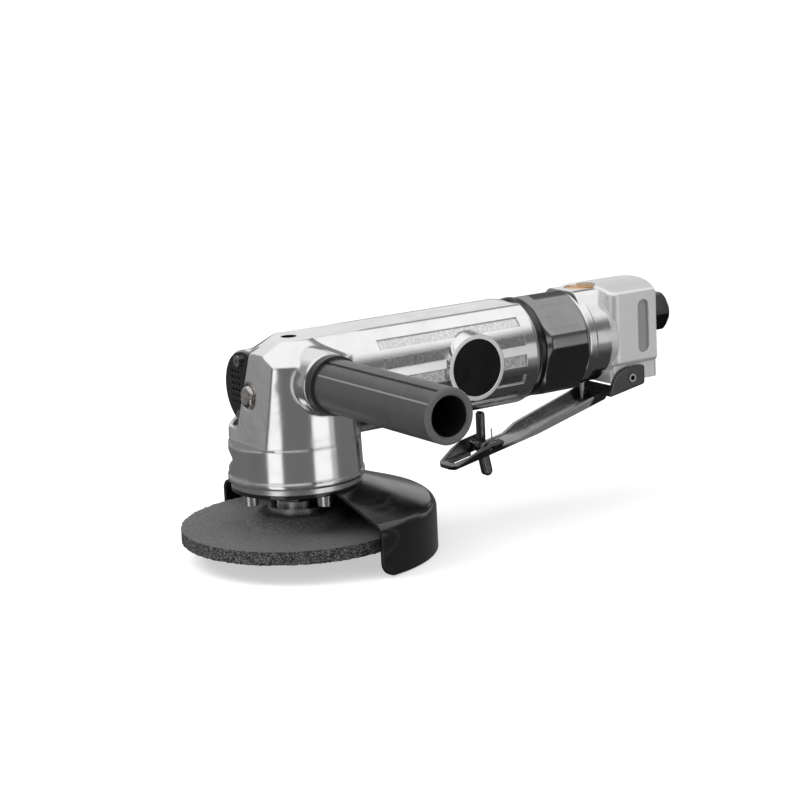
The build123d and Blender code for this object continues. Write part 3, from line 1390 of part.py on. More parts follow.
# Brass regulator that turns across the air way, and its ring
with BuildPart() as regulator:
    turned(
        [
            (STEM_X, REGULATOR_FOOT_Z),
            (STEM_X + REGULATOR_R, REGULATOR_FOOT_Z),
            (STEM_X + REGULATOR_R, REGULATOR_TOP_Z - REGULATOR_HEAD_T),
            (STEM_X + REGULATOR_HEAD_R, REGULATOR_TOP_Z - REGULATOR_HEAD_T),
            (STEM_X + REGULATOR_HEAD_R, REGULATOR_TOP_Z),
            (STEM_X, REGULATOR_TOP_Z),
        ],
        STEM_AXIS,
        radii=(0, 0, 0, 0, REGULATOR_ROUND, 0),
    )
    with BuildSketch(Plane.XZ):
        with Locations((STEM_X + REGULATOR_R - ORING_WIRE_R, REGULATOR_ORING_Z)):
            Circle(ORING_WIRE_R + SEAT)
    revolve(axis=STEM_AXIS, mode=Mode.SUBTRACT)
    rod(along(AIR_WAY_START, AIR_WAY_Z), AIR_WAY_R, FULL, Mode.SUBTRACT)
    with BuildSketch(level(REGULATOR_TOP_Z, STEM_X)):
        Rectangle(REGULATOR_SLOT_W, FULL, rotation=REGULATOR_SLOT_TURN)
    extrude(amount=-REGULATOR_SLOT_DEPTH, mode=Mode.SUBTRACT)
keep(regulator, "regulator")

with BuildPart() as regulator_oring:
    with BuildSketch(Plane.XZ):
        with Locations((STEM_X + REGULATOR_R - ORING_WIRE_R, REGULATOR_ORING_Z)):
            Circle(ORING_WIRE_R)
    revolve(axis=STEM_AXIS)
keep(regulator_oring, "regulator_oring")


def web_z(x):
    """Height of the underside of the lever's web at rest."""
    bend_z = WEB_REAR_Z - (WEB_REAR_X - BEND_X) * tan(radians(REAR_SLOPE))
    if x < BEND_X:
        return bend_z - (BEND_X - x) * tan(radians(FRONT_SLOPE))
    return bend_z + (x - BEND_X) * tan(radians(REAR_SLOPE))


def ear_z(x):
    """Height of the lower edge of the lever's rear ears at rest."""
    return EAR_FOOT_Z + (x - EAR_FRONT_X) * tan(radians(EAR_SLOPE))


# Throttle lever: a bent sheet channel that widens into two ears on the pin
web_top = SHEET_T / cos(radians(REAR_SLOPE))
ear_inner = EAR_HALF_W - SHEET_T
plate_back_x = LUG_FRONT_X - GAP
splay = radians(WALL_SPLAY)
wall_w = SHEET_T / cos(splay)
floor_half = WEB_HALF_W + SHEET_T * tan(splay) - wall_w
wall_reach = WEB_HALF_W + WALL_ROOM * tan(splay)
with BuildPart() as throttle_lever:
    # Channel with splayed walls along the bent web, trimmed to its side and top views
    front_x = LEVER_TIP_X - WALL_ROOM
    rear_x = WEB_REAR_X + WALL_ROOM
    with BuildLine() as web_line:
        Polyline((front_x, 0, web_z(front_x)), (BEND_X, 0, web_z(BEND_X)), (rear_x, 0, web_z(rear_x)))
    channel = outline(
        Plane(web_line.line @ 0, x_dir=(0, 1, 0), z_dir=web_line.line % 0),
        [
            (-WEB_HALF_W, 0),
            (WEB_HALF_W, 0),
            (wall_reach, WALL_ROOM),
            (wall_reach - wall_w, WALL_ROOM),
            (floor_half, SHEET_T),
            (-floor_half, SHEET_T),
            (wall_w - wall_reach, WALL_ROOM),
            (-wall_reach, WALL_ROOM),
        ],
    )
    sweep(channel, path=web_line.line, transition=Transition.RIGHT)
    side_trim = outline(
        Plane.XZ,
        [
            (LEVER_TIP_X, web_z(LEVER_TIP_X) - SHEET_T),
            (BEND_X, web_z(BEND_X) - SHEET_T),
            (WEB_REAR_X, WEB_REAR_Z - SHEET_T),
            (WEB_REAR_X, ear_z(WEB_REAR_X) + SHEET_T / 2),
            (EAR_FRONT_X, ear_z(EAR_FRONT_X) + SHEET_T / 2),
            (KINK_X, web_z(KINK_X) + WALL_H),
            (LOW_WALL_END_X, web_z(LOW_WALL_END_X) + LOW_WALL_H),
            (LOCK_EAR_BACK_X, web_z(LOCK_EAR_BACK_X) + LOW_WALL_H),
            (LOCK_EAR_BACK_X, web_z(LOCK_EAR_BACK_X) + LOCK_EAR_H),
            (LOCK_EAR_FRONT_X, web_z(LOCK_EAR_FRONT_X) + LOCK_EAR_H),
            (NOSE_X, web_z(NOSE_X) + web_top),
            (LEVER_TIP_X, web_z(LEVER_TIP_X) + web_top),
        ],
        (0, 0, 0, 0, 0, 0, 0, EAR_CORNER / 2, EAR_CORNER, EAR_CORNER, 0, 0),
    )
    extrude(side_trim, amount=FULL, both=True, mode=Mode.INTERSECT)
    top_trim = outline(
        Plane.XY,
        [
            (LEVER_TIP_X, NOSE_HALF_W),
            (LEVER_TIP_X, -NOSE_HALF_W),
            (rear_x, -NOSE_HALF_W),
            (rear_x, NOSE_HALF_W),
        ],
        (TIP_CORNER, TIP_CORNER, 0, 0),
    )
    extrude(top_trim, amount=FULL, mode=Mode.INTERSECT)
    # Cross plate behind the channel, and the ears it carries
    plate_side = outline(
        Plane.XZ,
        [
            (EAR_FRONT_X, ear_z(EAR_FRONT_X)),
            (plate_back_x, ear_z(plate_back_x)),
            (plate_back_x, ear_z(plate_back_x) + SHEET_T),
            (EAR_FRONT_X, ear_z(EAR_FRONT_X) + SHEET_T),
        ],
    )
    extrude(plate_side, amount=EAR_HALF_W, both=True)
    for side in (1, -1):
        with BuildSketch(Plane.XZ.offset(side * ear_inner)):
            with BuildLine():
                FilletPolyline(
                    (EAR_FRONT_X, ear_z(EAR_FRONT_X)),
                    (EAR_BACK_X, ear_z(EAR_BACK_X)),
                    (EAR_BACK_X, EAR_TOP_Z),
                    (EAR_FRONT_X, EAR_TOP_Z),
                    radius=(0, EAR_CORNER, EAR_CORNER, EAR_ROUND),
                    close=True,
                )
            make_face()
        extrude(amount=side * SHEET_T)
    # Holes for the two pins, and the slot the lock lever's tab swings through
    rod(across(PIVOT_X, PIVOT_Z, FULL / 2), LEVER_PIN_R + RUN, FULL, Mode.SUBTRACT)
    rod(across(LOCK_X, LOCK_Z, FULL / 2), LOCK_PIN_R + SEAT, FULL, Mode.SUBTRACT)
    slot_l = LOCK_X - LOCK_SLOT_FRONT_X
    with BuildSketch(level(0, LOCK_X)):
        with Locations((-slot_l / 2, 0)):
            Rectangle(slot_l, LOCK_ARM_W + 2 * GAP)
        Rectangle(2 * LOCK_WINDOW, 2 * (CHANNEL_HALF_W - SHEET_T))
    extrude(amount=LOCK_Z, mode=Mode.SUBTRACT)
keep(throttle_lever, "throttle_lever")

pin_half = EAR_HALF_W + GAP
with BuildPart() as lever_pin:
    rod(across(PIVOT_X, PIVOT_Z, pin_half), LEVER_PIN_R, 2 * pin_half)
    rod(across(PIVOT_X, PIVOT_Z, pin_half), LEVER_PIN_BORE_R, 2 * pin_half, Mode.SUBTRACT)
keep(lever_pin, "lever_pin")

# Lock lever on its own pin, with a return spring beside it
with BuildPart() as lock_lever:
    shape = across(LOCK_X, LOCK_Z, LOCK_ARM_W / 2)
    arm_end = (0, lock_top_z - LOCK_ARM_R - LOCK_Z)
    tab_end = (LOCK_TAB_X - LOCK_X, LOCK_TAB_Z - LOCK_Z)
    with BuildSketch(shape):
        SlotCenterPoint((arm_end[0] / 2, arm_end[1] / 2), arm_end, 2 * LOCK_ARM_R)
        SlotCenterPoint((tab_end[0] / 2, tab_end[1] / 2), tab_end, 2 * LOCK_TAB_R)
    extrude(amount=LOCK_ARM_W)
    rod(shape, LOCK_HUB_R, LOCK_ARM_W)
    rims = lock_lever.edges().group_by(Axis.Y)
    fillet(rims[0] + rims[-1], LOCK_EDGE_R)
    rod(shape, LOCK_PIN_R + RUN, LOCK_ARM_W, Mode.SUBTRACT)
keep(lock_lever, "lock_lever")

with BuildPart() as lock_pin:
    rod(across(LOCK_X, LOCK_Z, CHANNEL_HALF_W), LOCK_PIN_R, 2 * CHANNEL_HALF_W)
keep(lock_pin, "lock_pin")

lock_frame = across(LOCK_X, LOCK_Z, -LOCK_ARM_W / 2 - GAP - LOCK_WIRE_R)
with BuildPart() as lock_spring:
    with BuildLine() as lock_path:
        start, start_dir = coil_place(lock_frame, LOCK_SPRING_R, LOCK_COIL_PITCH, 1)
        Line(start - start_dir * LOCK_LEG_L, start)
        coil(lock_frame, LOCK_SPRING_R, LOCK_COIL_PITCH, 1, LOCK_COIL_QUARTERS)
        end, end_dir = coil_place(lock_frame, LOCK_SPRING_R, LOCK_COIL_PITCH, LOCK_COIL_QUARTERS)
        Line(end, end + end_dir * (LOCK_LEG_TOP_Z - LOCK_Z))
    with BuildSketch(Plane(lock_path.line @ 0, z_dir=lock_path.line % 0)):
        Circle(LOCK_WIRE_R)
    sweep()
keep(lock_spring, "lock_spring")
lock_gap = wire_gap(lock_path.wire(), LOCK_WIRE_R, WIRE_SAMPLES, 2 * LOCK_SPRING_R)
print(f"lock_spring least gap to itself {lock_gap:.2f} mm")
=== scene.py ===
"""Looks of an air angle grinder: its finishes, four formed pieces, a studio and the camera.

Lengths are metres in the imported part's frame. The wheel's working face is z = 0, the
spindle runs along z, the barrel along +x and the side handle along -y.
"""

import logging
import math
from dataclasses import dataclass
from enum import Enum
from functools import reduce
from typing import Any

import bpy
import numpy as np
from mathutils import Matrix, Vector


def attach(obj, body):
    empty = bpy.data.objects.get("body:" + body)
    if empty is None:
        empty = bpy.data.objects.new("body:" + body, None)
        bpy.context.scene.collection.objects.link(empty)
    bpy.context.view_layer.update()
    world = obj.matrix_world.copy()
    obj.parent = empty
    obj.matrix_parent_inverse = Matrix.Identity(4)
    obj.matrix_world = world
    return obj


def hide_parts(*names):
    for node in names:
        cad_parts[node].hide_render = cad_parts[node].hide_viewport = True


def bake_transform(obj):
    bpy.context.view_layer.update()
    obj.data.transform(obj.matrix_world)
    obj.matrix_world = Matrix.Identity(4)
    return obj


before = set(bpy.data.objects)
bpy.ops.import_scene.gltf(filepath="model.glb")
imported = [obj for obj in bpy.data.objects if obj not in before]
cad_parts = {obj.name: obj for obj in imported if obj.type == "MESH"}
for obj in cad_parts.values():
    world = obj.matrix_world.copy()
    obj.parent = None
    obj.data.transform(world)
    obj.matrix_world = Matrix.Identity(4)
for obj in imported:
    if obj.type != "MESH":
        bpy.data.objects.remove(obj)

LOG = logging.getLogger("grinder")
Colour = tuple[float, float, float, float]
Point = tuple[float, float, float]
Span = tuple[float, float]
Socket = bpy.types.NodeSocket
Feed = Socket | float | Colour


class Slot(Enum):
    """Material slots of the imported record."""

    POLISHED = "polished_aluminium"
    MACHINED = "machined_aluminium"
    ENAMEL = "black_steel"
    OXIDE = "black_oxide"
    DARK_STEEL = "dark_grey_steel"
    BRIGHT_STEEL = "bright_steel"
    BEARING = "bearing_steel"
    NICKEL = "nickel"
    LINER = "cast_liner"
    BRASS = "brass"
    ABRASIVE = "abrasive"
    HANDLE = "handle_plastic"
    VANE = "vane_plastic"
    BADGE = "badge_black"
    RUBBER = "rubber"
    FELT = "felt"


class Lay(Enum):
    """Which way a surface's grain runs, as the stretch of its noise along x, y and z."""

    EVEN = (1.0, 1.0, 1.0)
    ALONG_X = (0.04, 1.0, 1.0)
    ALONG_Y = (1.0, 0.04, 1.0)
    ROUND_X = (1.0, 0.04, 0.04)
    ROUND_Z = (0.04, 0.04, 1.0)


def grey(value: float, warm: float = 0.0) -> Colour:
    """A linear grey, a little warmer or cooler than neutral."""
    return (value * (1 + warm), value, value * (1 - warm), 1.0)


EDGE_SAMPLES = 8  # rays that look for an edge to round
NOISE_RANGE = (0.3, 0.7)  # values that most of a noise lies between
WAVE_BAND = 0.3  # width of a wave texture's band at scale 1
STREAK_LEAST = 0.55  # how much of a patch shows between the streaks of its grain
SCRATCH_TONE = grey(0.5)  # colour of a scratch
SCRATCH_ROUGH = 0.3  # roughness that a scratch adds


class Graph:
    """A shader node tree that is written as short calls. A feed is a socket to link or a plain value."""

    def __init__(self, tree: bpy.types.NodeTree) -> None:
        """Start from an empty tree."""
        self.tree = tree
        tree.nodes.clear()

    def add(self, kind: str, inputs: dict[Any, Any] | None = None, **settings: Any) -> bpy.types.Node:
        """Add a node, set its options and feed its inputs.

        Args:
            kind: type of the node, without "ShaderNode" in front.
            inputs: feeds by the name or number of the socket.
            settings: properties of the node.

        Returns:
            The new node.
        """
        node = self.tree.nodes.new(kind if kind.startswith("Node") else f"ShaderNode{kind}")
        for name, value in settings.items():
            setattr(node, name, value)
        for key, value in (inputs or {}).items():
            if isinstance(value, Socket):
                self.tree.links.new(value, node.inputs[key])
            else:
                node.inputs[key].default_value = value
        return node

    def group(self, tree: bpy.types.NodeTree, **inputs: Any) -> Any:
        """The outputs of a shared group, with its inputs fed by name."""
        return self.add("Group", inputs, node_tree=tree).outputs

    def axes(self, vector: Socket) -> Any:
        """The parts of a vector by the names X, Y and Z."""
        return self.add("SeparateXYZ", {0: vector}).outputs

    def math(self, operation: str, *values: Feed) -> Socket:
        """The result of a Math node."""
        return self.add("Math", dict(enumerate(values)), operation=operation).outputs[0]

    def product(self, *values: Feed) -> Socket:
        """All the values multiplied, which for masks is where they overlap."""
        return reduce(lambda first, second: self.math("MULTIPLY", first, second), values)

    def weigh(self, first: Feed, second: Feed, share: float) -> Socket:
        """Two values added up, the first by its share and the second by the rest."""
        return self.math("ADD", self.product(first, share), self.product(second, 1 - share))

    def length(self, first: Feed, second: Feed) -> Socket:
        """Root of the sum of two squares."""
        squares = [self.math("POWER", value, 2.0) for value in (first, second)]
        return self.math("SQRT", self.math("ADD", *squares))

    def ramp(self, value: Feed, low: float, high: float, start: float = 0.0, end: float = 1.0) -> Socket:
        """Blend smoothly from one number to another while a value rises.

        Args:
            value: the value that is read.
            low: value at which the result is start.
            high: value at which the result is end.
            start: result below low.
            end: result above high.

        Returns:
            The blended number.
        """
        feeds = {"Value": value, "From Min": low, "From Max": high, "To Min": start, "To Max": end}
        return self.add("MapRange", feeds, interpolation_type="SMOOTHSTEP").outputs[0]

    def noise(self, place: Socket, scale: Feed, detail: float = 2.0, **more: float) -> Socket:
        """Smooth noise, with its features 1 / scale apart."""
        return self.add("TexNoise", {"Vector": place, "Scale": scale, "Detail": detail, **more}).outputs[0]

    def mix(self, mask: Feed, first: Feed, second: Feed) -> Socket:
        """Two numbers mixed by a mask."""
        return self.add("Mix", {0: mask, 2: first, 3: second}).outputs[0]

    def blend(self, mask: Feed, first: Feed, second: Feed) -> Socket:
        """Two colours mixed by a mask."""
        return self.add("Mix", {0: mask, 6: first, 7: second}, data_type="RGBA").outputs[2]

    def bump(self, height: Feed, depth: float, normal: Socket | None = None) -> Socket:
        """A normal that is tilted by a height.

        Args:
            height: the height, from 0 to 1.
            depth: how deep a height of 1 is, in metres.
            normal: a normal to start from, or None for the mesh's own.

        Returns:
            The tilted normal.
        """
        feeds = {"Strength": 1.0, "Distance": depth, "Height": height}
        if normal is not None:
            feeds["Normal"] = normal
        return self.add("Bump", feeds).outputs[0]


class Effects:
    """Shared node groups, each made once."""

    def __init__(self) -> None:
        """Make all the groups."""
        self.smudge = self._smudge()
        self.grain = self._grain()
        self.granules = self._granules()
        self.scratches = self._scratches()

    @staticmethod
    def _start(name: str, *extra: str) -> tuple[Graph, Any, Socket]:
        """An empty group that reads a Vector and the Size of its features.

        Args:
            name: the group's name.
            extra: names of further inputs, which are vectors.

        Returns:
            The graph, its inputs by name, and 1 / Size.
        """
        tree = bpy.data.node_groups.new(name, "ShaderNodeTree")
        for key in ("Vector", *extra):
            tree.interface.new_socket(key, in_out="INPUT", socket_type="NodeSocketVector")
        tree.interface.new_socket("Size", in_out="INPUT", socket_type="NodeSocketFloat")
        graph = Graph(tree)
        given = graph.add("NodeGroupInput").outputs
        return graph, given, graph.math("DIVIDE", 1.0, given["Size"])

    @staticmethod
    def _close(graph: Graph, **outputs: Socket) -> bpy.types.NodeTree:
        """Give a group its outputs.

        Args:
            graph: the group's graph.
            outputs: sockets by the outputs' names, all of them numbers.

        Returns:
            The group.
        """
        for key in outputs:
            graph.tree.interface.new_socket(key, in_out="OUTPUT", socket_type="NodeSocketFloat")
        graph.add("NodeGroupOutput", outputs)
        return graph.tree

    def _smudge(self) -> bpy.types.NodeTree:
        """Soft patches of handling marks: wide, warped noise with a finer one added.

        Returns:
            A group from Vector and Size to Mask.
        """
        graph, given, scale = self._start("smudge")
        finer, wide_share = 4.3, 0.72
        faint, full = 0.36, 0.66
        wide = graph.noise(given["Vector"], scale, detail=4.0, Roughness=0.55, Distortion=0.6)
        fine = graph.noise(given["Vector"], graph.product(scale, finer), detail=3.0)
        return self._close(graph, Mask=graph.ramp(graph.weigh(wide, fine, wide_share), faint, full))

    def _grain(self) -> bpy.types.NodeTree:
        """Polishing or rolling grain: noise stretched along one direction, with fainter long streaks.

        Returns:
            A group from Vector, Stretch and Size to Height and Streak.
        """
        graph, given, scale = self._start("grain", "Stretch")
        longer = 0.18
        faint, full = 0.34, 0.68
        factors = {0: given["Vector"], 1: given["Stretch"]}
        spread = graph.add("VectorMath", factors, operation="MULTIPLY").outputs[0]
        fine = graph.noise(spread, scale, detail=3.0, Roughness=0.7)
        streak = graph.noise(spread, graph.product(scale, longer), detail=5.0, Roughness=0.6)
        return self._close(graph, Height=fine, Streak=graph.ramp(streak, faint, full))

    def _granules(self) -> bpy.types.NodeTree:
        """Bonded grit: cells of two sizes with a random tone each, and pits between them.

        Returns:
            A group from Vector and Size to Tone, Height and Pit.
        """
        graph, given, scale = self._start("granules")
        finer, tone_share, dome_share = 2.3, 0.62, 0.7
        dome_r, pebble_r = 0.75, 0.7
        deep, shallow = 0.25, 0.6
        cells = graph.add("TexVoronoi", {"Vector": given["Vector"], "Scale": scale}).outputs
        small = graph.product(scale, finer)
        dust = graph.add("TexVoronoi", {"Vector": given["Vector"], "Scale": small}).outputs
        tone = graph.add("SeparateColor", {0: cells["Color"]}).outputs[0]
        speck = graph.add("SeparateColor", {0: dust["Color"]}).outputs[1]
        dome = graph.ramp(cells["Distance"], 0.0, dome_r, 1.0, 0.0)
        pebble = graph.ramp(dust["Distance"], 0.0, pebble_r, 1.0, 0.0)
        height = graph.weigh(dome, pebble, dome_share)
        pit = graph.ramp(height, deep, shallow, 1.0, 0.0)
        return self._close(graph, Tone=graph.weigh(tone, speck, tone_share), Height=height, Pit=pit)

    def _scratches(self) -> bpy.types.NodeTree:
        """Stray fine scratches: the thin level lines of three stretched noises, in some places only.

        Returns:
            A group from Vector and Size to Mask.
        """
        graph, given, scale = self._start("scratches")
        turns = (0.3, 0.9, 0.1), (1.2, -0.4, 0.7), (-0.6, 0.2, 1.4)
        stretch, level, width = (0.12, 1.0, 1.0), 0.5, 0.008
        sparser, none, some = 0.5, 0.52, 0.66
        total: Feed = 0.0
        for turn in turns:
            spun = {"Vector": given["Vector"], "Rotation": turn, "Scale": stretch}
            noise = graph.noise(graph.add("Mapping", spun).outputs[0], scale, detail=1.0)
            off = graph.math("ABSOLUTE", graph.math("SUBTRACT", noise, level))
            total = graph.math("MAXIMUM", total, graph.ramp(off, 0.0, width, 1.0, 0.0))
        here = graph.ramp(graph.noise(given["Vector"], graph.product(scale, sparser)), none, some)
        return self._close(graph, Mask=graph.product(total, here))


EFFECTS = Effects()


@dataclass(frozen=True)
class Look:
    """What a finish's nodes feed to the shader.

    Attributes:
        colour: base colour socket.
        roughness: roughness socket.
        normal: normal socket.
        metallic: metallic socket, or None for the finish's own number.
    """

    colour: Socket
    roughness: Socket
    normal: Socket
    metallic: Socket | None = None


@dataclass(frozen=True)
class Finish:
    """A surface finish: two tones in soft patches, grain, stray scratches and a bump.

    Attributes:
        slot: material slot of the record that it stands for.
        light: colour of the clean areas.
        dark: colour of the handled areas.
        smooth: roughness of the clean areas.
        rough: roughness of the handled areas.
        name: name of the finish, or "" for the slot's.
        metallic: 1 for bare metal and 0 for paint, plastic and rubber.
        patch: size of the patches.
        lay: which way the grain runs.
        grain: width of a grain.
        depth: depth of the grain.
        wave: depth of the slow waviness of a hand-polished surface.
        wave_size: length of that waviness.
        scratch: how much the scratches lighten the surface.
        specular: specular level of a surface that isn't metal.
        edge: radius over which sharp edges look rounded.
    """

    slot: Slot
    light: Colour
    dark: Colour
    smooth: float
    rough: float
    name: str = ""
    metallic: float = 1.0
    patch: float = 0.02
    lay: Lay = Lay.EVEN
    grain: float = 0.0004
    depth: float = 0.000004
    wave: float = 0.0
    wave_size: float = 0.02
    scratch: float = 0.0
    specular: float = 0.5
    edge: float = 0.0

    def edge_radius(self, graph: Graph, place: Socket) -> Feed:
        """Radius over which edges look rounded, which is even here."""
        return self.edge

    def look(self, graph: Graph, place: Socket) -> Look:
        """Lay out the nodes of the finish.

        Args:
            graph: the material's node tree.
            place: the object's own coordinates.

        Returns:
            The sockets for the shader.
        """
        patch = graph.group(EFFECTS.smudge, Vector=place, Size=self.patch)["Mask"]
        grain = graph.group(EFFECTS.grain, Vector=place, Stretch=self.lay.value, Size=self.grain)
        tint = graph.product(patch, graph.ramp(grain["Streak"], 0.0, 1.0, STREAK_LEAST, 1.0))
        colour = graph.blend(tint, self.light, self.dark)
        rough = graph.ramp(tint, 0.0, 1.0, self.smooth, self.rough)
        if self.scratch:
            mark = graph.group(EFFECTS.scratches, Vector=place, Size=self.patch)["Mask"]
            mark = graph.product(mark, self.scratch)
            colour = graph.blend(mark, colour, SCRATCH_TONE)
            rough = graph.math("ADD", rough, graph.product(mark, SCRATCH_ROUGH))
        normal = None
        if self.edge:
            radius = self.edge_radius(graph, place)
            normal = graph.add("Bevel", {"Radius": radius}, samples=EDGE_SAMPLES).outputs[0]
        if self.wave:
            normal = graph.bump(graph.noise(place, 1 / self.wave_size, detail=1.5), self.wave, normal)
        return Look(colour, rough, graph.bump(grain["Height"], self.depth, normal))

    def material(self) -> bpy.types.Material:
        """The finish as a material, made on first use.

        Returns:
            The material.
        """
        name = f"look_{self.name or self.slot.value}"
        made = bpy.data.materials.get(name)
        if made:
            return made
        made = bpy.data.materials.new(name)
        made.use_nodes = True
        graph = Graph(made.node_tree)
        look = self.look(graph, graph.add("TexCoord").outputs["Object"])
        feeds = {
            "Base Color": look.colour,
            "Roughness": look.roughness,
            "Normal": look.normal,
            "Metallic": look.metallic or self.metallic,
            "Specular IOR Level": self.specular,
        }
        shader = graph.add("BsdfPrincipled", feeds)
        graph.add("OutputMaterial", {"Surface": shader.outputs[0]})
        return made


@dataclass(frozen=True)
class FlutedCasting(Finish):
    """Polished casting whose sunk flutes were left with the marks of coarse sanding.

    Attributes:
        axis_z: height of the barrel's axis.
        flute_r: radius below which the barrel's surface belongs to a flute.
        flute_x: where the flutes start and end.
        top_z: height above which the surface is the barrel's flat top.
        hatch: spacing of the sanding marks.
        hatch_turn: how the marks are turned about x, y and z.
        hatch_depth: depth of the marks.
        hatch_rough: roughness of the flutes.
        hatch_shade_z: heights between which the flutes' tone passes from dark to light, the darker lower
            flutes being painted shade.
        hatch_tone_and_shade: tone of the lower and of the upper flutes: their sanded colour, with painted
            shade on the lower ones.
        bite: size of the spots where the sanding bit deeper.
        bite_share: how much of the sanded tone shows beside these spots and on them.
        ledge: x up to which, and z round which, the ledge under the facet is painted darker as shade.
        ledge_near: how far from that height the painted shade reaches.
        ledge_shade: colour of the painted shade on that ledge.
        ledge_rough: roughness of that ledge.
        head_edge: radius of the softer edges of the head.
        head_x: where the head's edges pass into the barrel's.
        crown: radius over which the barrel's flat top falls away to its sides.
        hole_r: radius round the spindle's axis within which the top hole is painted dark as shade.
        hole_shade: colour of the painted shade inside that hole.
    """

    axis_z: float = 0.0628
    flute_r: float = 0.0236
    flute_x: Span = (0.0319, 0.1046)
    top_z: float = 0.0838
    hatch: float = 0.0007
    hatch_turn: Point = (0.0, 0.85, 0.3)
    hatch_depth: float = 0.000024
    hatch_rough: float = 0.24
    hatch_shade_z: Span = (0.07, 0.078)
    hatch_tone_and_shade: Span = (0.36, 0.56)
    bite: float = 0.0011
    bite_share: Span = (0.3, 0.8)
    ledge: Span = (-0.0205, 0.0416)
    ledge_near: float = 0.0003
    ledge_shade: Colour = grey(0.36)
    ledge_rough: float = 0.5
    head_edge: float = 0.0024
    head_x: Span = (0.024, 0.034)
    crown: float = 0.004
    hole_r: float = 0.0034
    hole_shade: Colour = grey(0.02)

    def edge_radius(self, graph: Graph, place: Socket) -> Feed:
        """Radius over which edges look rounded: wide on the head and the barrel's flat top, else narrow.

        Args:
            graph: the material's node tree.
            place: the object's own coordinates.

        Returns:
            The radius.
        """
        at = graph.axes(place)
        soft = graph.ramp(at["X"], *self.head_x, self.head_edge, self.edge)
        flat = graph.ramp(at["X"], *self.head_x, self.edge, self.crown)
        return graph.mix(graph.math("LESS_THAN", at["Z"], self.top_z), flat, soft)

    def look(self, graph: Graph, place: Socket) -> Look:
        """Lay out the nodes, with the flutes picked out by their radius and place.

        Args:
            graph: the material's node tree.
            place: the object's own coordinates.

        Returns:
            The sockets for the shader.
        """
        plain = super().look(graph, place)
        at = graph.axes(place)
        lift = graph.math("SUBTRACT", at["Z"], self.axis_z)
        flutes = graph.product(
            graph.math("LESS_THAN", graph.length(lift, at["Y"]), self.flute_r),
            graph.math("LESS_THAN", at["Z"], self.top_z),
            graph.math("GREATER_THAN", at["X"], self.flute_x[0]),
            graph.math("LESS_THAN", at["X"], self.flute_x[1]),
        )
        laid = graph.add("Mapping", {"Vector": place, "Rotation": self.hatch_turn}).outputs[0]
        bands = {"Vector": laid, "Scale": WAVE_BAND / self.hatch, "Distortion": 2.5, "Detail Scale": 2.0}
        marks = graph.product(graph.add("TexWave", bands).outputs["Fac"], flutes)
        spots = graph.ramp(graph.noise(laid, 1 / self.bite, detail=3.0), *NOISE_RANGE, *self.bite_share)
        # painted shade: the sanded flutes are coloured darker towards the bottom, by height
        sanded = graph.ramp(at["Z"], *self.hatch_shade_z, *self.hatch_tone_and_shade)
        colour = graph.blend(graph.product(flutes, spots), plain.colour, sanded)
        rough = graph.mix(flutes, plain.roughness, self.hatch_rough)
        # painted shade: the ledge under the facet is coloured darker, as if in shadow
        level = graph.math("COMPARE", at["Z"], self.ledge[1], self.ledge_near)
        cast = graph.product(level, graph.math("LESS_THAN", at["X"], self.ledge[0]))
        # painted shade: inside the top hole the casting is coloured near black
        hole = graph.math("LESS_THAN", graph.length(at["X"], at["Y"]), self.hole_r)
        colour = graph.blend(hole, graph.blend(cast, colour, self.ledge_shade), self.hole_shade)
        rough = graph.mix(cast, rough, self.ledge_rough)
        return Look(colour, rough, graph.bump(marks, self.hatch_depth, plain.normal))


@dataclass(frozen=True)
class SatinBlock(Finish):
    """Polished casting whose block was blasted to a satin.

    Attributes:
        block_x: where the satin starts and where it is full.
        satin: roughness of the blasted block.
        satin_spread: how far that roughness varies each way.
        satin_tone: the block's colour.
        pebble: size of the blasting marks.
        pebble_depth: depth of the blasting marks.
        sheen: share of the block's light that is mirrored, the rest being scattered.
        groove: x and z of the middle of the side slots.
        groove_half: half their width and height.
        groove_y: distance of their floors from the middle.
        groove_near: how far from that distance a floor reaches.
        groove_shade: colour of the painted shade on their floors.
    """

    block_x: Span = (0.1538, 0.1553)
    satin: float = 0.44
    satin_spread: float = 0.05
    satin_tone: Colour = grey(0.8)
    pebble: float = 0.0006
    pebble_depth: float = 0.00001
    sheen: float = 0.78
    groove: Span = (0.1736, 0.0669)
    groove_half: Span = (0.0031, 0.012)
    groove_y: float = 0.0181
    groove_near: float = 0.0004
    groove_shade: Colour = grey(0.4)

    def look(self, graph: Graph, place: Socket) -> Look:
        """Lay out the nodes, with the satin brought in along x.

        Args:
            graph: the material's node tree.
            place: the object's own coordinates.

        Returns:
            The sockets for the shader.
        """
        plain = super().look(graph, place)
        at = graph.axes(place)
        block = graph.ramp(at["X"], *self.block_x)
        pits = graph.noise(place, 1 / self.pebble)
        floor = graph.math("COMPARE", graph.math("ABSOLUTE", at["Y"]), self.groove_y, self.groove_near)
        for axis, middle, half in zip("XZ", self.groove, self.groove_half):
            floor = graph.product(floor, graph.math("COMPARE", at[axis], middle, half))
        colour = graph.blend(block, plain.colour, self.satin_tone)
        # painted shade: the floors of the sunk slots are coloured darker
        colour = graph.blend(floor, colour, self.groove_shade)
        spread = self.satin - self.satin_spread, self.satin + self.satin_spread
        rough = graph.mix(block, plain.roughness, graph.ramp(pits, *NOISE_RANGE, *spread))
        normal = graph.bump(graph.product(pits, block), self.pebble_depth, plain.normal)
        return Look(colour, rough, normal, graph.ramp(block, 0.0, 1.0, 1.0, self.sheen))


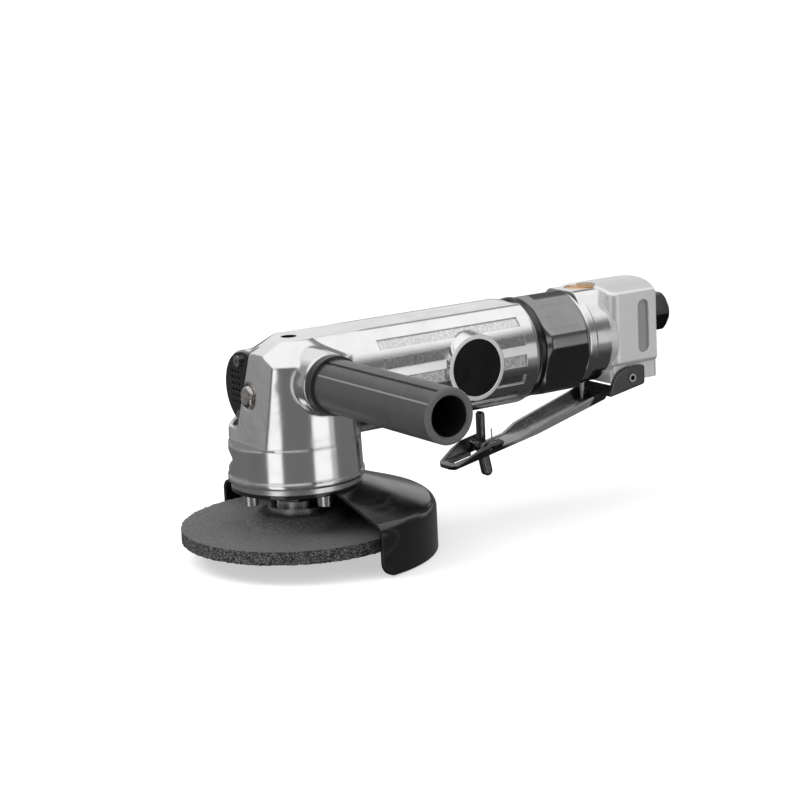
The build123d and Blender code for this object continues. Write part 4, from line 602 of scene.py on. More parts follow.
@dataclass(frozen=True)
class MouldedGrip(Finish):
    """Moulded plastic with the fine raised line of the mould's parting along it, coloured paler as a painted
    highlight.

    Attributes:
        axis_z: height of the grip's axis, which runs along y.
        seam: angle of the line round the axis, in degrees from +x towards +z.
        seam_w: half the width of the line.
        seam_core: share of that width at the line's full height.
        seam_h: height of the line.
        seam_highlight: colour of the painted highlight on the line.
        grip_y: where the line ends, short of the collar.
        collar_tone: colour of the collar, which was turned smooth.
        bore_r: radius of the grip's bore.
        bore_shade: colour of the painted shade inside the bore.
        end_y: where the rubbed ring at the grip's end starts.
        end_tone: colour of that ring.
    """

    axis_z: float = 0.0684
    seam: float = 147.0
    seam_w: float = 0.0005
    seam_core: float = 0.3
    seam_h: float = 0.00008
    seam_highlight: Colour = grey(0.17)
    grip_y: float = -0.037
    collar_tone: Colour = grey(0.02)
    bore_r: float = 0.008
    bore_shade: Colour = grey(0.01)
    end_y: float = -0.1146
    end_tone: Colour = grey(0.085)

    def look(self, graph: Graph, place: Socket) -> Look:
        """Lay out the nodes, with the line where the distance from the parting plane is small.

        Args:
            graph: the material's node tree.
            place: the object's own coordinates.

        Returns:
            The sockets for the shader.
        """
        plain = super().look(graph, place)
        at = graph.axes(place)
        turn = math.radians(self.seam)
        lift = graph.math("SUBTRACT", at["Z"], self.axis_z)
        across = graph.product(at["X"], math.sin(turn))
        off = graph.math("ABSOLUTE", graph.math("SUBTRACT", across, graph.product(lift, math.cos(turn))))
        grip = graph.math("LESS_THAN", at["Y"], self.grip_y)
        end = graph.math("LESS_THAN", at["Y"], self.end_y)
        bore = graph.math("LESS_THAN", graph.length(lift, at["X"]), self.bore_r)
        bare = graph.math("SUBTRACT", 1.0, graph.math("MAXIMUM", end, bore))
        line = graph.ramp(off, self.seam_w * self.seam_core, self.seam_w, 1.0, 0.0)
        line = graph.product(line, grip, bare)
        colour = graph.blend(end, plain.colour, self.end_tone)
        # painted shade: the inside of the bore is coloured near black
        colour = graph.blend(bore, colour, self.bore_shade)
        colour = graph.blend(grip, self.collar_tone, colour)
        # painted highlight: the raised parting line is coloured paler than the grip
        colour = graph.blend(line, colour, self.seam_highlight)
        return Look(colour, plain.roughness, graph.bump(line, self.seam_h, plain.normal))


@dataclass(frozen=True)
class WornLitLever(Finish):
    """Blackened sheet steel, coloured paler along the channel as painted light, and dark as painted shade
    where the ears shade it.

    Attributes:
        nose_x: where the dark nose passes into the channel that is painted paler as light.
        channel_x: where that paler channel passes into the ears.
        channel_light_tone: colour of the painted light on the channel.
        channel_light_share: how much of that colour shows.
        sheen: share of the channel's light that is mirrored, the rest being scattered.
        plate_x: where the plate between the ears starts and ends.
        plate_y: half its width.
        plate_shade: colour of the painted shade on that plate.
        plate_shade_rough: roughness that is added where that shade is painted.
    """

    nose_x: Span = (0.1, 0.112)
    channel_x: Span = (0.15, 0.1555)
    channel_light_tone: Colour = grey(0.42)
    channel_light_share: float = 0.8
    sheen: float = 0.6
    plate_x: Span = (0.152, 0.1645)
    plate_y: float = 0.0155
    plate_shade: Colour = grey(0.01)
    plate_shade_rough: float = 0.4

    def look(self, graph: Graph, place: Socket) -> Look:
        """Lay out the nodes, with the channel and the plate picked out by their place.

        Args:
            graph: the material's node tree.
            place: the object's own coordinates.

        Returns:
            The sockets for the shader.
        """
        plain = super().look(graph, place)
        at = graph.axes(place)
        # painted light: the channel's web is coloured paler, as if lit
        channel_light = graph.product(graph.ramp(at["X"], *self.nose_x), graph.ramp(at["X"], *self.channel_x, 1.0, 0.0))
        middle, half = sum(self.plate_x) / 2, (self.plate_x[1] - self.plate_x[0]) / 2
        plate = graph.product(
            graph.math("LESS_THAN", graph.math("ABSOLUTE", at["Y"]), self.plate_y),
            graph.math("COMPARE", at["X"], middle, half),
        )
        colour = graph.blend(graph.product(channel_light, self.channel_light_share), plain.colour, self.channel_light_tone)
        # painted shade: the plate between the ears is coloured near black
        colour = graph.blend(plate, colour, self.plate_shade)
        rough = graph.math("ADD", plain.roughness, graph.product(plate, self.plate_shade_rough))
        sheen = graph.math("SUBTRACT", graph.ramp(channel_light, 0.0, 1.0, 1.0, self.sheen), plate)
        return Look(colour, rough, plain.normal, sheen)


@dataclass(frozen=True)
class Grit(Finish):
    """Bonded abrasive: grains of many tones with pits painted dark as shade, and paler dusty flat faces.

    Attributes:
        grit: size of a grain.
        tones: random values of the darkest and the palest grains.
        pit: how much the painted shade darkens the pits.
        pit_shade: colour of that painted shade.
        face: how dusty the flat faces are.
        face_turn: upward share of the normal where the dust starts and where it is full.
        mottle: how much of the dust is left on handled areas.
        dust: colour of the dust.
    """

    grit: float = 0.0011
    tones: Span = (0.2, 0.85)
    pit: float = 0.65
    pit_shade: Colour = grey(0.008)
    face: float = 0.8
    face_turn: Span = (0.5, 0.9)
    mottle: float = 0.86
    dust: Colour = grey(0.13)

    def look(self, graph: Graph, place: Socket) -> Look:
        """Lay out the nodes: grains everywhere, evened out by dust where the face looks up or down.

        Args:
            graph: the material's node tree.
            place: the object's own coordinates.

        Returns:
            The sockets for the shader.
        """
        grains = graph.group(EFFECTS.granules, Vector=place, Size=self.grit)
        handled = graph.group(EFFECTS.smudge, Vector=place, Size=self.patch)["Mask"]
        tone = graph.ramp(grains["Tone"], *self.tones)
        colour = graph.blend(tone, self.dark, self.light)
        # painted shade: the pits between the grains are coloured near black
        colour = graph.blend(graph.product(grains["Pit"], self.pit), colour, self.pit_shade)
        upward = graph.math("ABSOLUTE", graph.axes(graph.add("NewGeometry").outputs["Normal"])["Z"])
        dusty = graph.ramp(upward, *self.face_turn, 0.0, self.face)
        dusty = graph.product(dusty, graph.ramp(handled, 0.0, 1.0, 1.0, self.mottle))
        colour = graph.blend(dusty, colour, self.dust)
        rough = graph.ramp(tone, 0.0, 1.0, self.rough, self.smooth)
        return Look(colour, rough, graph.bump(grains["Height"], self.depth))


HOUSING = FlutedCasting(
    Slot.POLISHED, grey(0.9), grey(0.8), 0.12, 0.2, patch=0.03, lay=Lay.ALONG_X, grain=0.0005,
    depth=0.000003, wave=0.00005, wave_size=0.018, edge=0.0004,
)
REAR_CASTING = SatinBlock(
    Slot.POLISHED, grey(0.88), grey(0.78), 0.16, 0.26, "rear_casting", patch=0.02, grain=0.0006,
    depth=0.000005, wave=0.00006, wave_size=0.016, edge=0.0006,
)
MACHINED = Finish(Slot.MACHINED, grey(0.78), grey(0.6), 0.24, 0.36, lay=Lay.ROUND_Z, grain=0.0003)
ENAMEL = Finish(
    Slot.ENAMEL, grey(0.002), grey(0.004), 0.1, 0.2, metallic=0.0, specular=0.8, patch=0.03, grain=0.0012,
    depth=0.000008, wave=0.00005, wave_size=0.016, scratch=0.03, edge=0.0005,
)
OXIDE = Finish(
    Slot.OXIDE, grey(0.1), grey(0.06), 0.26, 0.4, patch=0.012, lay=Lay.ALONG_X, depth=0.000008, scratch=0.2,
    edge=0.0004,
)
NUT_STEEL = Finish(
    Slot.DARK_STEEL, grey(0.3), grey(0.25), 0.15, 0.22, "nut_steel", patch=0.018, lay=Lay.ALONG_X,
    grain=0.0003, depth=0.000003, edge=0.0013,
)
RING_STEEL = Finish(
    Slot.DARK_STEEL, grey(0.1), grey(0.06), 0.15, 0.24, "ring_steel", patch=0.014, lay=Lay.ROUND_X,
    grain=0.0003, depth=0.000003, edge=0.0007,
)
LEVER_STEEL = WornLitLever(
    Slot.DARK_STEEL, grey(0.15), grey(0.1), 0.2, 0.32, "lever_steel", patch=0.012, lay=Lay.ALONG_X,
    grain=0.0003, depth=0.000005, wave=0.00003, wave_size=0.01, scratch=0.1, edge=0.0009,
)
BRIGHT = Finish(
    Slot.BRIGHT_STEEL, grey(0.62), grey(0.44), 0.2, 0.34, patch=0.008, lay=Lay.ROUND_Z, grain=0.0003,
)
BEARING = Finish(
    Slot.BEARING, grey(0.68), grey(0.58), 0.1, 0.2, patch=0.01, lay=Lay.ROUND_Z, grain=0.0003,
)
NICKEL = Finish(
    Slot.NICKEL, grey(0.6, 0.04), grey(0.4, 0.05), 0.14, 0.28, patch=0.004, wave=0.00006, wave_size=0.003,
)
LINER = Finish(Slot.LINER, grey(0.34), grey(0.24), 0.3, 0.45, lay=Lay.ROUND_X, grain=0.0004)
BRASS = Finish(
    Slot.BRASS, (0.98, 0.56, 0.2, 1.0), (0.88, 0.48, 0.15, 1.0), 0.22, 0.34, patch=0.006, lay=Lay.ROUND_Z,
    grain=0.0003,
)
WHEEL_GRIT = Grit(
    Slot.ABRASIVE, grey(0.22, 0.03), grey(0.012), 0.6, 0.85, metallic=0.0, patch=0.03, depth=0.0003,
    specular=0.35, grit=0.0006, dust=grey(0.125),
)
HANDLE = MouldedGrip(
    Slot.HANDLE, grey(0.05), grey(0.04), 0.32, 0.42, metallic=0.0, patch=0.025, lay=Lay.ALONG_Y,
    grain=0.0005, depth=0.000012, scratch=0.03, edge=0.0005,
)
VANE = Finish(
    Slot.VANE, (0.36, 0.2, 0.09, 1.0), (0.25, 0.13, 0.05, 1.0), 0.5, 0.7, metallic=0.0, grain=0.0006,
    depth=0.00002,
)
BADGE = Finish(Slot.BADGE, grey(0.003), grey(0.005), 0.12, 0.24, metallic=0.0, patch=0.008, specular=0.12)
RUBBER = Finish(Slot.RUBBER, grey(0.03), grey(0.02), 0.55, 0.75, metallic=0.0, grain=0.0006, depth=0.00002)
FELT = Finish(
    Slot.FELT, grey(0.24, 0.05), grey(0.16, 0.05), 0.9, 1.0, metallic=0.0, grain=0.0003, depth=0.00012,
)


def give(finish: Finish, *nodes: str) -> None:
    """Put a finish on CAD nodes through their material slots.

    Args:
        finish: the finish.
        nodes: names of the nodes.
    """
    material = finish.material()
    for node in nodes:
        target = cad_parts[node]
        if not target.material_slots:
            target.data.materials.append(material)
        for slot in target.material_slots:
            slot.material = material


def grid_piece(name: str, points: np.ndarray, finish: Finish, rows_join: bool) -> bpy.types.Object:
    """A smooth mesh over a grid of points whose columns join up at their ends.

    Args:
        name: name of the piece.
        points: positions, of shape (rows, columns, 3), that turn outward from row to column.
        finish: the piece's finish.
        rows_join: whether the rows join up at their ends too.

    Returns:
        The new object, at the origin.
    """
    rows, columns = points.shape[:2]
    row = np.arange(rows if rows_join else rows - 1)
    r, c = np.meshgrid(row, np.arange(columns), indexing="ij")
    r2, c2 = (r + 1) % rows, (c + 1) % columns
    corners = [a * columns + b for a, b in ((r, c), (r2, c), (r2, c2), (r, c2))]
    quads = np.stack(corners, axis=-1).reshape(-1, 4)
    mesh = bpy.data.meshes.new(name)
    mesh.from_pydata(points.reshape(-1, 3), [], quads)
    mesh.polygons.foreach_set("use_smooth", np.ones(len(quads), dtype=bool))
    mesh.materials.append(finish.material())
    mesh.update()
    piece = bpy.data.objects.new(name, mesh)
    bpy.context.scene.collection.objects.link(piece)
    return piece


def soft_noise(shape: tuple[int, int], cells: tuple[int, int], rng: np.random.Generator) -> np.ndarray:
    """Random heights on a coarse grid, blended smoothly onto a fine one that wraps both ways.

    Args:
        shape: rows and columns of the fine grid.
        cells: rows and columns of the coarse grid.
        rng: source of the random numbers.

    Returns:
        Heights from 0 to 1, of the fine grid's shape.
    """
    coarse = rng.random(cells)
    u = np.arange(shape[0]) * cells[0] / shape[0]
    v = np.arange(shape[1]) * cells[1] / shape[1]
    i, j = u.astype(int), v.astype(int)
    s, t = ((w - k) ** 2 * (3 - 2 * (w - k)) for w, k in ((u, i), (v, j)))
    i2, j2 = (i + 1) % cells[0], (j + 1) % cells[1]
    low = coarse[np.ix_(i, j)] * (1 - t) + coarse[np.ix_(i, j2)] * t
    high = coarse[np.ix_(i2, j)] * (1 - t) + coarse[np.ix_(i2, j2)] * t
    return low * (1 - s[:, None]) + high * s[:, None]


@dataclass(frozen=True)
class Coil:
    """A coil of round wire with a straight leg at each end.

    Attributes:
        foot: point on the axis, level with the wire's middle at angle 0.
        axis: direction of the axis.
        across: direction from the axis to the wire at angle 0.
        radius: radius of the coil.
        pitch: rise of a turn.
        turns: where the coil starts and ends, in turns.
        legs: lengths of the two legs.
        wire: radius of the wire.
        steps: points on each turn.
        sides: points round the wire.
    """

    foot: Point
    axis: Point
    across: Point
    radius: float
    pitch: float
    turns: Span
    legs: Span
    wire: float
    steps: int = 48
    sides: int = 14

    def build(self, name: str, node: str) -> bpy.types.Object:
        """Form the spring.

        The centre line is a helix that runs on along its level tangents at both ends. A circle square to
        that line is carried along it, and closed at each end by a ring that is drawn in to the middle.

        Args:
            name: name of the piece.
            node: the CAD node that it stands for.

        Returns:
            The spring, not yet tied to any body.
        """
        count = int((self.turns[1] - self.turns[0]) * self.steps) + 1
        turn = 2 * np.pi * np.linspace(*self.turns, count)[:, None]
        x, z = np.array(self.across), np.array(self.axis)
        y = np.cross(z, x)
        out = np.cos(turn) * x + np.sin(turn) * y
        ahead = np.cos(turn) * y - np.sin(turn) * x
        line = np.array(self.foot) + self.radius * out + z * self.pitch * turn / (2 * np.pi)
        ends = line[:1] - ahead[:1] * self.legs[0], line[-1:] + ahead[-1:] * self.legs[1]
        line = np.concatenate((ends[0], line, ends[1]))
        out = np.concatenate((out[:1], out, out[-1:]))
        angle = np.linspace(0, 2 * np.pi, self.sides, endpoint=False)[None, :, None]
        points = line[:, None] + self.wire * (np.cos(angle) * out[:, None] + np.sin(angle) * z)
        caps = [np.repeat(end[None], self.sides, axis=1) for end in ends]
        spring = grid_piece(name, np.concatenate((caps[0], points, caps[1])), BRIGHT, False)
        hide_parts(node)
        return spring


class SubAssembly:
    """Pieces that are formed and dressed together."""

    def build(self) -> list[bpy.types.Object]:
        """Form the pieces that the CAD nodes don't give, which are none here."""
        return []

    def dress(self) -> None:
        """Put the finishes on the CAD nodes, which are none here."""


@dataclass
class WheelSet(SubAssembly):
    """The grinding wheel with its flange and nut, on the spindle.

    Attributes:
        radius: the wheel's radius.
        thick: its thickness.
        bore: radius of its hole.
        hub: radius of the raised centre.
        slope: width of the slope round the raised centre.
        rise: how far the centre is raised.
        chip: greatest depth of a missing grain at the rim.
        rim: width of the edge where grains are missing.
        worn: greatest depth of the wear on the faces.
        held: how far outside the raised centre the wear starts, and the width over which it grows.
        sharp: power that makes most of the noise shallow.
        noise: share, points to a cell round the wheel and points to a cell across it, of each noise.
        turns: points round the wheel.
        spacing: greatest distance between points across it.
        seed: seed of its noise.
    """

    radius: float = 0.05
    thick: float = 0.006
    bore: float = 0.008
    hub: float = 0.017
    slope: float = 0.005
    rise: float = 0.0045
    chip: float = 0.0008
    rim: float = 0.0012
    worn: float = 0.00012
    held: Span = (0.001, 0.004)
    sharp: float = 1.5
    noise: tuple[tuple[float, int, int], ...] = ((0.45, 2, 1), (0.35, 5, 2), (0.2, 24, 6))
    turns: int = 760
    spacing: float = 0.0009
    seed: int = 7

    def profile(self) -> np.ndarray:
        """Closed outline of half the wheel's section.

        Returns:
            Radius and height of points, from the bore's foot outward and back, evenly spread on each side.
        """
        foot = self.hub + self.slope
        corners = np.array(
            [
                (self.bore, self.rise), (self.hub, self.rise), (foot, 0.0), (self.radius, 0.0),
                (self.radius, self.thick), (foot, self.thick), (self.hub, self.rise + self.thick),
                (self.bore, self.rise + self.thick),
            ]
        )
        ends = np.roll(corners, -1, axis=0)
        counts = np.ceil(np.linalg.norm(ends - corners, axis=1) / self.spacing).astype(int)
        shares = [np.linspace(0, 1, count, endpoint=False)[:, None] for count in counts]
        return np.concatenate([a + (b - a) * share for a, b, share in zip(corners, ends, shares)])

    def build(self) -> list[bpy.types.Object]:
        """Form the wheel.

        The section is carried round z. Each point sinks along the section's inward normal by noise of
        three sizes, deep where the radius nears the rim and almost nothing where the flange holds it.

        Returns:
            The wheel, which stands for the plain CAD node and rides on the spindle.
        """
        section = self.profile()
        along = np.roll(section, -1, axis=0) - np.roll(section, 1, axis=0)
        inward = np.stack((-along[:, 1], along[:, 0]), axis=1)
        inward /= np.linalg.norm(inward, axis=1, keepdims=True)
        count = len(section)
        rng = np.random.default_rng(self.seed)
        sizes = [(share, (self.turns // around, count // over)) for share, around, over in self.noise]
        noise = sum(share * soft_noise((self.turns, count), cells, rng) for share, cells in sizes)
        near_rim = np.clip((section[:, 0] - self.radius + self.rim) / self.rim, 0, 1)
        free = np.clip((section[:, 0] - self.hub - self.held[0]) / self.held[1], 0, 1)
        depth = noise**self.sharp * (self.worn * free + (self.chip - self.worn) * near_rim)
        turn = np.linspace(0, 2 * np.pi, self.turns, endpoint=False)[:, None]
        r = section[:, 0] + depth * inward[:, 0]
        z = section[:, 1] + depth * inward[:, 1]
        points = np.stack((r * np.cos(turn), r * np.sin(turn), z), axis=-1)
        wheel = grid_piece("formed_wheel", points, WHEEL_GRIT, True)
        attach(wheel, "spindle")
        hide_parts("grinding_wheel")
        return [wheel]

    def dress(self) -> None:
        """Finish the flange, the nut, the spindle and what it carries inside the head."""
        give(OXIDE, "flange_nut")
        give(BRIGHT, "inner_flange", "spindle", "gear_key", "bevel_gear", "gear_circlip")
        give(BEARING, "lower_bearing_inner", "upper_bearing_inner")


class GearHead(SubAssembly):
    """The casting of head and barrel, with what is screwed to it."""

    def dress(self) -> None:
        """Finish the casting, its badge, plug, exhaust plate, cap and screws."""
        give(HOUSING, "motor_housing")
        give(BADGE, "badge_plate")
        give(NICKEL, "grease_plug", "exhaust_screws")
        give(ENAMEL, "exhaust_plate")
        give(MACHINED, "bearing_cap")
        give(FELT, "spindle_seal")
        give(BRIGHT, "cap_screws", "lock_washers")
        give(BEARING, "lower_bearing_outer", "upper_bearing_outer")


class Guard(SubAssembly):
    """The sheet guard over the rear half of the wheel."""

    def dress(self) -> None:
        """Finish the guard in gloss black."""
        give(ENAMEL, "wheel_guard")


class SideHandle(SubAssembly):
    """The plastic side handle and its bolt."""

    def dress(self) -> None:
        """Finish the handle and the bolt in its bore."""
        give(HANDLE, "side_handle")
        give(OXIDE, "handle_bolt")


class VaneMotor(SubAssembly):
    """The motor inside the barrel."""

    def dress(self) -> None:
        """Finish the rotor, its vanes, gear and bearings, and the stator."""
        give(BRIGHT, "rotor", "bevel_pinion", "pinion_nut", "dowel_pin")
        give(BEARING, "front_bearing_inner", "rear_bearing_inner")
        give(BEARING, "front_bearing_outer", "rear_bearing_outer")
        give(LINER, "front_end_plate", "rear_end_plate", "cylinder_liner")
        give(VANE, "rotor_vanes")


class CollarNut(SubAssembly):
    """The bevelled ring and the six-sided nut between the castings."""

    def dress(self) -> None:
        """Finish the ring and the nut in dark satin steel."""
        give(RING_STEEL, "clamp_ring")
        give(NUT_STEEL, "clamp_nut")


@dataclass
class RearBlock(SubAssembly):
    """The rear casting with the air inlet, the regulator and the throttle valve.

    Attributes:
        inlet_z: height of the inlet's axis.
        thread_start: where its thread starts.
        thread_end: where its thread ends.
        bore_r: radius of the bore that the thread lines.
        crest: how far the thread stands out from the bore.
        pitch: its pitch.
        foot: width of the ridge's foot as a share of the pitch.
        vee: points of the ridge's section, across it as shares of the foot and up as shares of the crest.
        pinch: share of the ridge's width that is left at its faded ends.
        steps: points on each turn.
        valve_spring: coil that holds the tilting valve on its seat.
        fixed_x: where the spring starts to follow the valve; not used.
        tilting_x: where it follows the valve all the way; not used.
    """

    inlet_z: float = 0.0688
    thread_start: float = 0.1838
    thread_end: float = 0.1972
    bore_r: float = 0.00572
    crest: float = 0.00062
    pitch: float = 0.00134
    foot: float = 0.96
    vee: tuple[Span, ...] = ((-0.5, 0.0), (-0.1, 1.0), (0.1, 1.0), (0.5, 0.0), (0.4, -0.25), (-0.4, -0.25))
    pinch: float = 0.05
    steps: int = 72
    valve_spring: Coil = Coil(
        foot=(0.16972, 0.0, 0.0688), axis=(1.0, 0.0, 0.0), across=(0.0, 1.0, 0.0), radius=0.0049,
        pitch=0.00186, turns=(0.0, 3.0), legs=(0.0002, 0.0002), wire=0.0004,
    )
    fixed_x: float = 0.1751
    tilting_x: float = 0.1701

    def build(self) -> list[bpy.types.Object]:
        """Form the inlet's thread and the valve's spring.

        Returns:
            The thread, and the spring.
        """
        spring = self.valve_spring.build("formed_valve_spring", "valve_spring")
        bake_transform(spring)
        return [self.thread(), spring]

    def thread(self) -> bpy.types.Object:
        """Form the inlet's thread.

        A closed vee section follows a helix round the inlet's axis, and its height fades to nothing
        over the first and last half turn. Both ends are drawn in to a point, so the ridge is closed.

        Returns:
            The thread, which rides on the housing.
        """
        length = self.thread_end - self.thread_start
        turns = length / self.pitch
        path = np.linspace(0, 1, int(turns * self.steps))[:, None]
        fade = np.clip(np.minimum(path, 1 - path) * turns * 2, 0.0, 1.0)
        turn = 2 * np.pi * turns * path
        across, height = np.array(self.vee).T
        width = self.pitch * self.foot * (self.pinch + (1 - self.pinch) * fade)
        x = self.thread_start + length * path + across * width
        r = self.bore_r - self.crest * height * fade
        points = np.stack((x, r * np.cos(turn), self.inlet_z + r * np.sin(turn)), axis=-1)
        points[[0, -1]] = points[[0, -1]].mean(axis=1, keepdims=True)
        thread = grid_piece("inlet_thread", points, OXIDE, False)
        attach(thread, "housing")
        return thread

    def dress(self) -> None:
        """Finish the casting, the inlet, the valve and the regulator."""
        give(REAR_CASTING, "valve_body")
        give(OXIDE, "inlet_bushing")
        give(BRASS, "inlet_screen", "regulator", "valve_seat")
        give(BRIGHT, "valve_stem", "tip_valve")
        give(RUBBER, "stem_oring", "regulator_oring")


@dataclass
class Throttle(SubAssembly):
    """The throttle lever with its pin, and the lock lever on it.

    Attributes:
        lock_spring: coil round the lock's pin, with one leg on the lever and one behind the lock.
        lever_y: where the coil starts to follow the lock; not used.
        lock_y: where it follows the lock all the way; not used.
    """

    lock_spring: Coil = Coil(
        foot=(0.0952, -0.00265, 0.0211), axis=(0.0, -1.0, 0.0), across=(1.0, 0.0, 0.0), radius=0.0023,
        pitch=0.00115, turns=(0.25, 2.0), legs=(0.008, 0.0085), wire=0.00035,
    )
    lever_y: float = -0.0033
    lock_y: float = -0.0046

    def build(self) -> list[bpy.types.Object]:
        """Form the lock's spring.

        Returns:
            The spring.
        """
        spring = self.lock_spring.build("formed_lock_spring", "lock_spring")
        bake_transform(spring)
        return [spring]

    def dress(self) -> None:
        """Finish the levers and pins."""
        give(LEVER_STEEL, "throttle_lever", "lock_lever", "lock_pin")
        give(BRIGHT, "lever_pin")


@dataclass(frozen=True)
class Panel:
    """A bright or grey card of the studio, as seen from the object.

    Attributes:
        azimuth: its middle, in degrees from +x towards +y.
        half: half its width, in degrees.
        low: its lower edge, in degrees above the horizon.
        high: its upper edge.
        level: its brightness.
        soft: width of its blurred edge, in degrees.
    """

    azimuth: float
    half: float
    low: float
    high: float
    level: float
    soft: float = 5.0

    def mask(self, graph: Graph, azimuth: Socket, elevation: Socket) -> Socket:
        """The card's brightness in a direction.

        Args:
            graph: the world's node tree.
            azimuth: direction's azimuth in degrees.
            elevation: direction's elevation in degrees.

        Returns:
            Its level inside, falling to 0 across the blurred edge.
        """
        blur = self.soft / 2
        aside = graph.math("SUBTRACT", azimuth, self.azimuth)
        aside = graph.math("ABSOLUTE", graph.math("WRAP", aside, 180.0, -180.0))
        wide = graph.ramp(aside, self.half - blur, self.half + blur, 1.0, 0.0)
        above = graph.ramp(elevation, self.low - blur, self.low + blur)
        below = graph.ramp(elevation, self.high - blur, self.high + blur, 1.0, 0.0)
        return graph.product(wide, above, below, self.level)


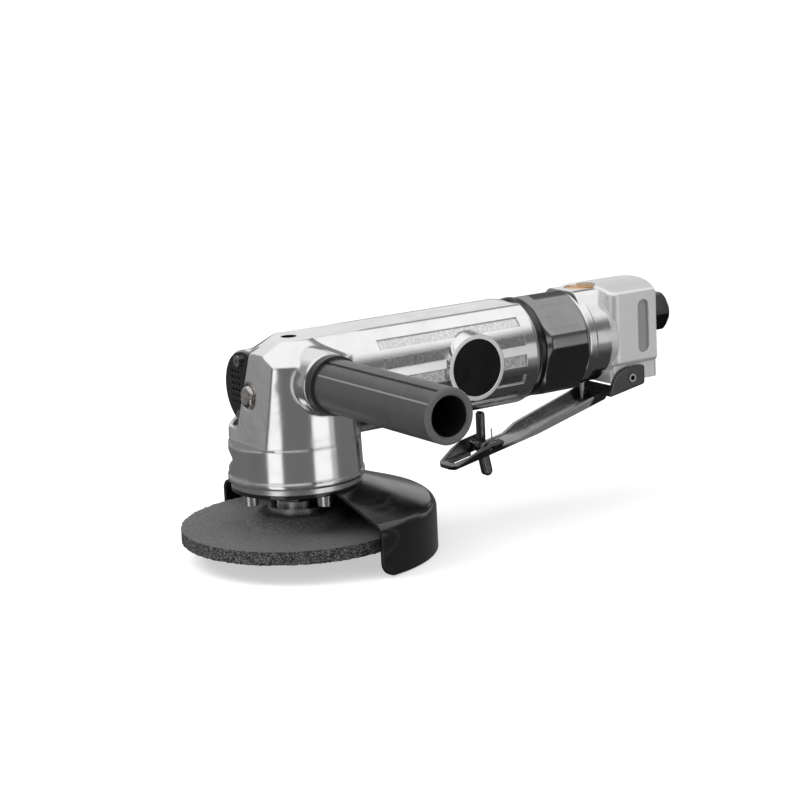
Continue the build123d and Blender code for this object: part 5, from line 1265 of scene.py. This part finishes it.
@dataclass
class Studio:
    """A white room: a pale floor, a soft dome, and the cards that the bare metal mirrors.

    A ramp below is two elevations in degrees, and the brightness at the lower and at the upper one.

    Attributes:
        floor_z: height of the floor.
        floor_half: half its width.
        paper: darkest and palest grey of the floor's fibres.
        fibres: fibres along a metre.
        glow: light that the floor gives by itself, which keeps its shadow faint.
        shade: ramp of the room's lower part, as the metal mirrors it.
        sky: ramp of the ceiling, as the metal mirrors it.
        dome: ramp of the light on dull surfaces.
        panels: cards in the room.
        gap: dark gap in the card behind, which draws the line along the barrel's top.
        lamp_place: where the lamp hangs.
        lamp_aim: point that it looks at.
        lamp_size: its width.
        lamp_power: its power in watts.
    """

    floor_z: float = -0.0086
    floor_half: float = 4.0
    paper: Span = (0.5, 0.53)
    fibres: float = 900.0
    glow: float = 0.5
    shade: tuple[float, ...] = (-34.0, -16.0, 0.045, 0.15)
    sky: tuple[float, ...] = (26.0, 44.0, 0.0, 0.86)
    dome: tuple[float, ...] = (-10.0, 70.0, 0.45, 1.5)
    panels: tuple[Panel, ...] = (
        Panel(-156.5, 13.0, -60.0, 14.0, 1.05),
        Panel(-72.5, 16.5, -24.0, 13.0, 1.05),
        Panel(-52.0, 6.0, -12.0, 13.0, 0.6, 4.0),
        Panel(50.0, 48.0, 3.0, 60.0, 0.84, 12.0),
        Panel(122.0, 30.0, -9.5, 34.0, 0.3),
    )
    gap: Panel = Panel(43.0, 14.0, 20.0, 46.0, 0.75)
    lamp_place: Point = (-0.55, 0.25, 0.75)
    lamp_aim: Point = (0.02, 0.0, 0.03)
    lamp_size: float = 0.5
    lamp_power: float = 5.0

    def build(self) -> None:
        """Make the world, the floor and the lamp, and set plain colours."""
        self._world()
        self._floor()
        self._lamp()
        bpy.context.scene.view_settings.view_transform = "Standard"

    def _world(self) -> None:
        """Light the room: white to the camera, a soft dome to dull surfaces, and cards to shiny ones."""
        world = bpy.data.worlds.new("studio")
        bpy.context.scene.world = world
        world.use_nodes = True
        world.cycles.sampling_method = "NONE"
        graph = Graph(world.node_tree)
        way = graph.axes(graph.add("TexCoord").outputs["Generated"])
        azimuth = graph.math("DEGREES", graph.math("ARCTAN2", way["Y"], way["X"]))
        elevation = graph.math("DEGREES", graph.math("ARCSINE", way["Z"]))
        mirrored = graph.math("ADD", graph.ramp(elevation, *self.shade), graph.ramp(elevation, *self.sky))
        for panel in self.panels:
            mirrored = graph.math("MAXIMUM", mirrored, panel.mask(graph, azimuth, elevation))
        lit = graph.math("SUBTRACT", 1.0, self.gap.mask(graph, azimuth, elevation))
        mirrored = graph.product(mirrored, lit)
        path = graph.add("LightPath").outputs
        room = graph.mix(path["Is Glossy Ray"], graph.ramp(elevation, *self.dome), mirrored)
        seen = graph.mix(path["Is Camera Ray"], room, 1.0)
        light = graph.add("Background", {"Color": grey(1.0), "Strength": seen})
        graph.add("OutputWorld", {"Surface": light.outputs[0]})

    def _floor(self) -> None:
        """Lay a pale floor that keeps a faint shadow and isn't mirrored in the metal."""
        half = self.floor_half
        corners = [(-half, -half, 0), (half, -half, 0), (half, half, 0), (-half, half, 0)]
        mesh = bpy.data.meshes.new("floor")
        mesh.from_pydata(corners, [], [(0, 1, 2, 3)])
        floor = bpy.data.objects.new("floor", mesh)
        floor.location.z = self.floor_z
        floor.visible_glossy = False
        bpy.context.scene.collection.objects.link(floor)
        material = bpy.data.materials.new("paper")
        material.use_nodes = True
        graph = Graph(material.node_tree)
        fibre = graph.noise(graph.add("TexCoord").outputs["Object"], self.fibres)
        feeds = {
            "Base Color": graph.blend(fibre, *(grey(tone) for tone in self.paper)),
            "Roughness": 1.0,
            "Specular IOR Level": 0.0,
            "Emission Color": grey(1.0),
            "Emission Strength": self.glow,
        }
        graph.add("OutputMaterial", {"Surface": graph.add("BsdfPrincipled", feeds).outputs[0]})
        mesh.materials.append(material)

    def _lamp(self) -> None:
        """Hang a soft square lamp that looks at the head."""
        data = bpy.data.lights.new("key", "AREA")
        data.size = self.lamp_size
        data.energy = self.lamp_power
        lamp = bpy.data.objects.new("key", data)
        lamp.location = self.lamp_place
        sight = Vector(self.lamp_aim) - Vector(self.lamp_place)
        lamp.rotation_euler = sight.to_track_quat("-Z", "Y").to_euler()
        lamp.visible_glossy = False
        bpy.context.scene.collection.objects.link(lamp)


@dataclass
class PhotoCamera:
    """A camera where the photo's was, from a fit to points of the object.

    Attributes:
        place: where it stands.
        azimuth: way round the object, in degrees.
        elevation: angle above the horizon, in degrees.
        roll: tilt about its own line of sight, in degrees.
        lens: focal length in millimetres.
        sensor: width of the picture in millimetres.
        reach: how far it sees.
    """

    place: Point = (-0.4451, -0.7653, 0.2442)
    azimuth: float = -33.08
    elevation: float = 12.08
    roll: float = -2.79
    lens: float = 97.669
    sensor: float = 36.0
    reach: float = 50.0

    def build(self) -> bpy.types.Object:
        """Set up the camera.

        Returns:
            The camera, which is the scene's.
        """
        a, e, r = (math.radians(v) for v in (self.azimuth, self.elevation, self.roll))
        back = Vector((math.sin(a) * math.cos(e), -math.cos(a) * math.cos(e), math.sin(e)))
        right = Vector((0, 0, 1)).cross(back).normalized()
        up = back.cross(right)
        side = math.cos(r) * right + math.sin(r) * up
        top = math.cos(r) * up - math.sin(r) * right
        data = bpy.data.cameras.new("photo")
        data.lens = self.lens
        data.sensor_width = self.sensor
        data.clip_end = self.reach
        camera = bpy.data.objects.new("photo", data)
        camera.matrix_world = Matrix.Translation(self.place) @ Matrix((side, top, back)).transposed().to_4x4()
        bpy.context.scene.collection.objects.link(camera)
        bpy.context.scene.camera = camera
        return camera


def main() -> None:
    """Build the sub-assemblies, the studio and the camera."""
    logging.basicConfig(level=logging.INFO, format="%(name)s: %(message)s")
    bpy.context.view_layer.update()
    parts = [WheelSet(), GearHead(), Guard(), SideHandle(), VaneMotor(), CollarNut(), RearBlock(), Throttle()]
    for part in parts:
        for piece in part.build():
            LOG.info("%s: %s, %d faces", type(part).__name__, piece.name, len(piece.data.polygons))
        part.dress()
        LOG.info("%s dressed", type(part).__name__)
    Studio().build()
    PhotoCamera().build()


if __name__ == "__main__":
    main()
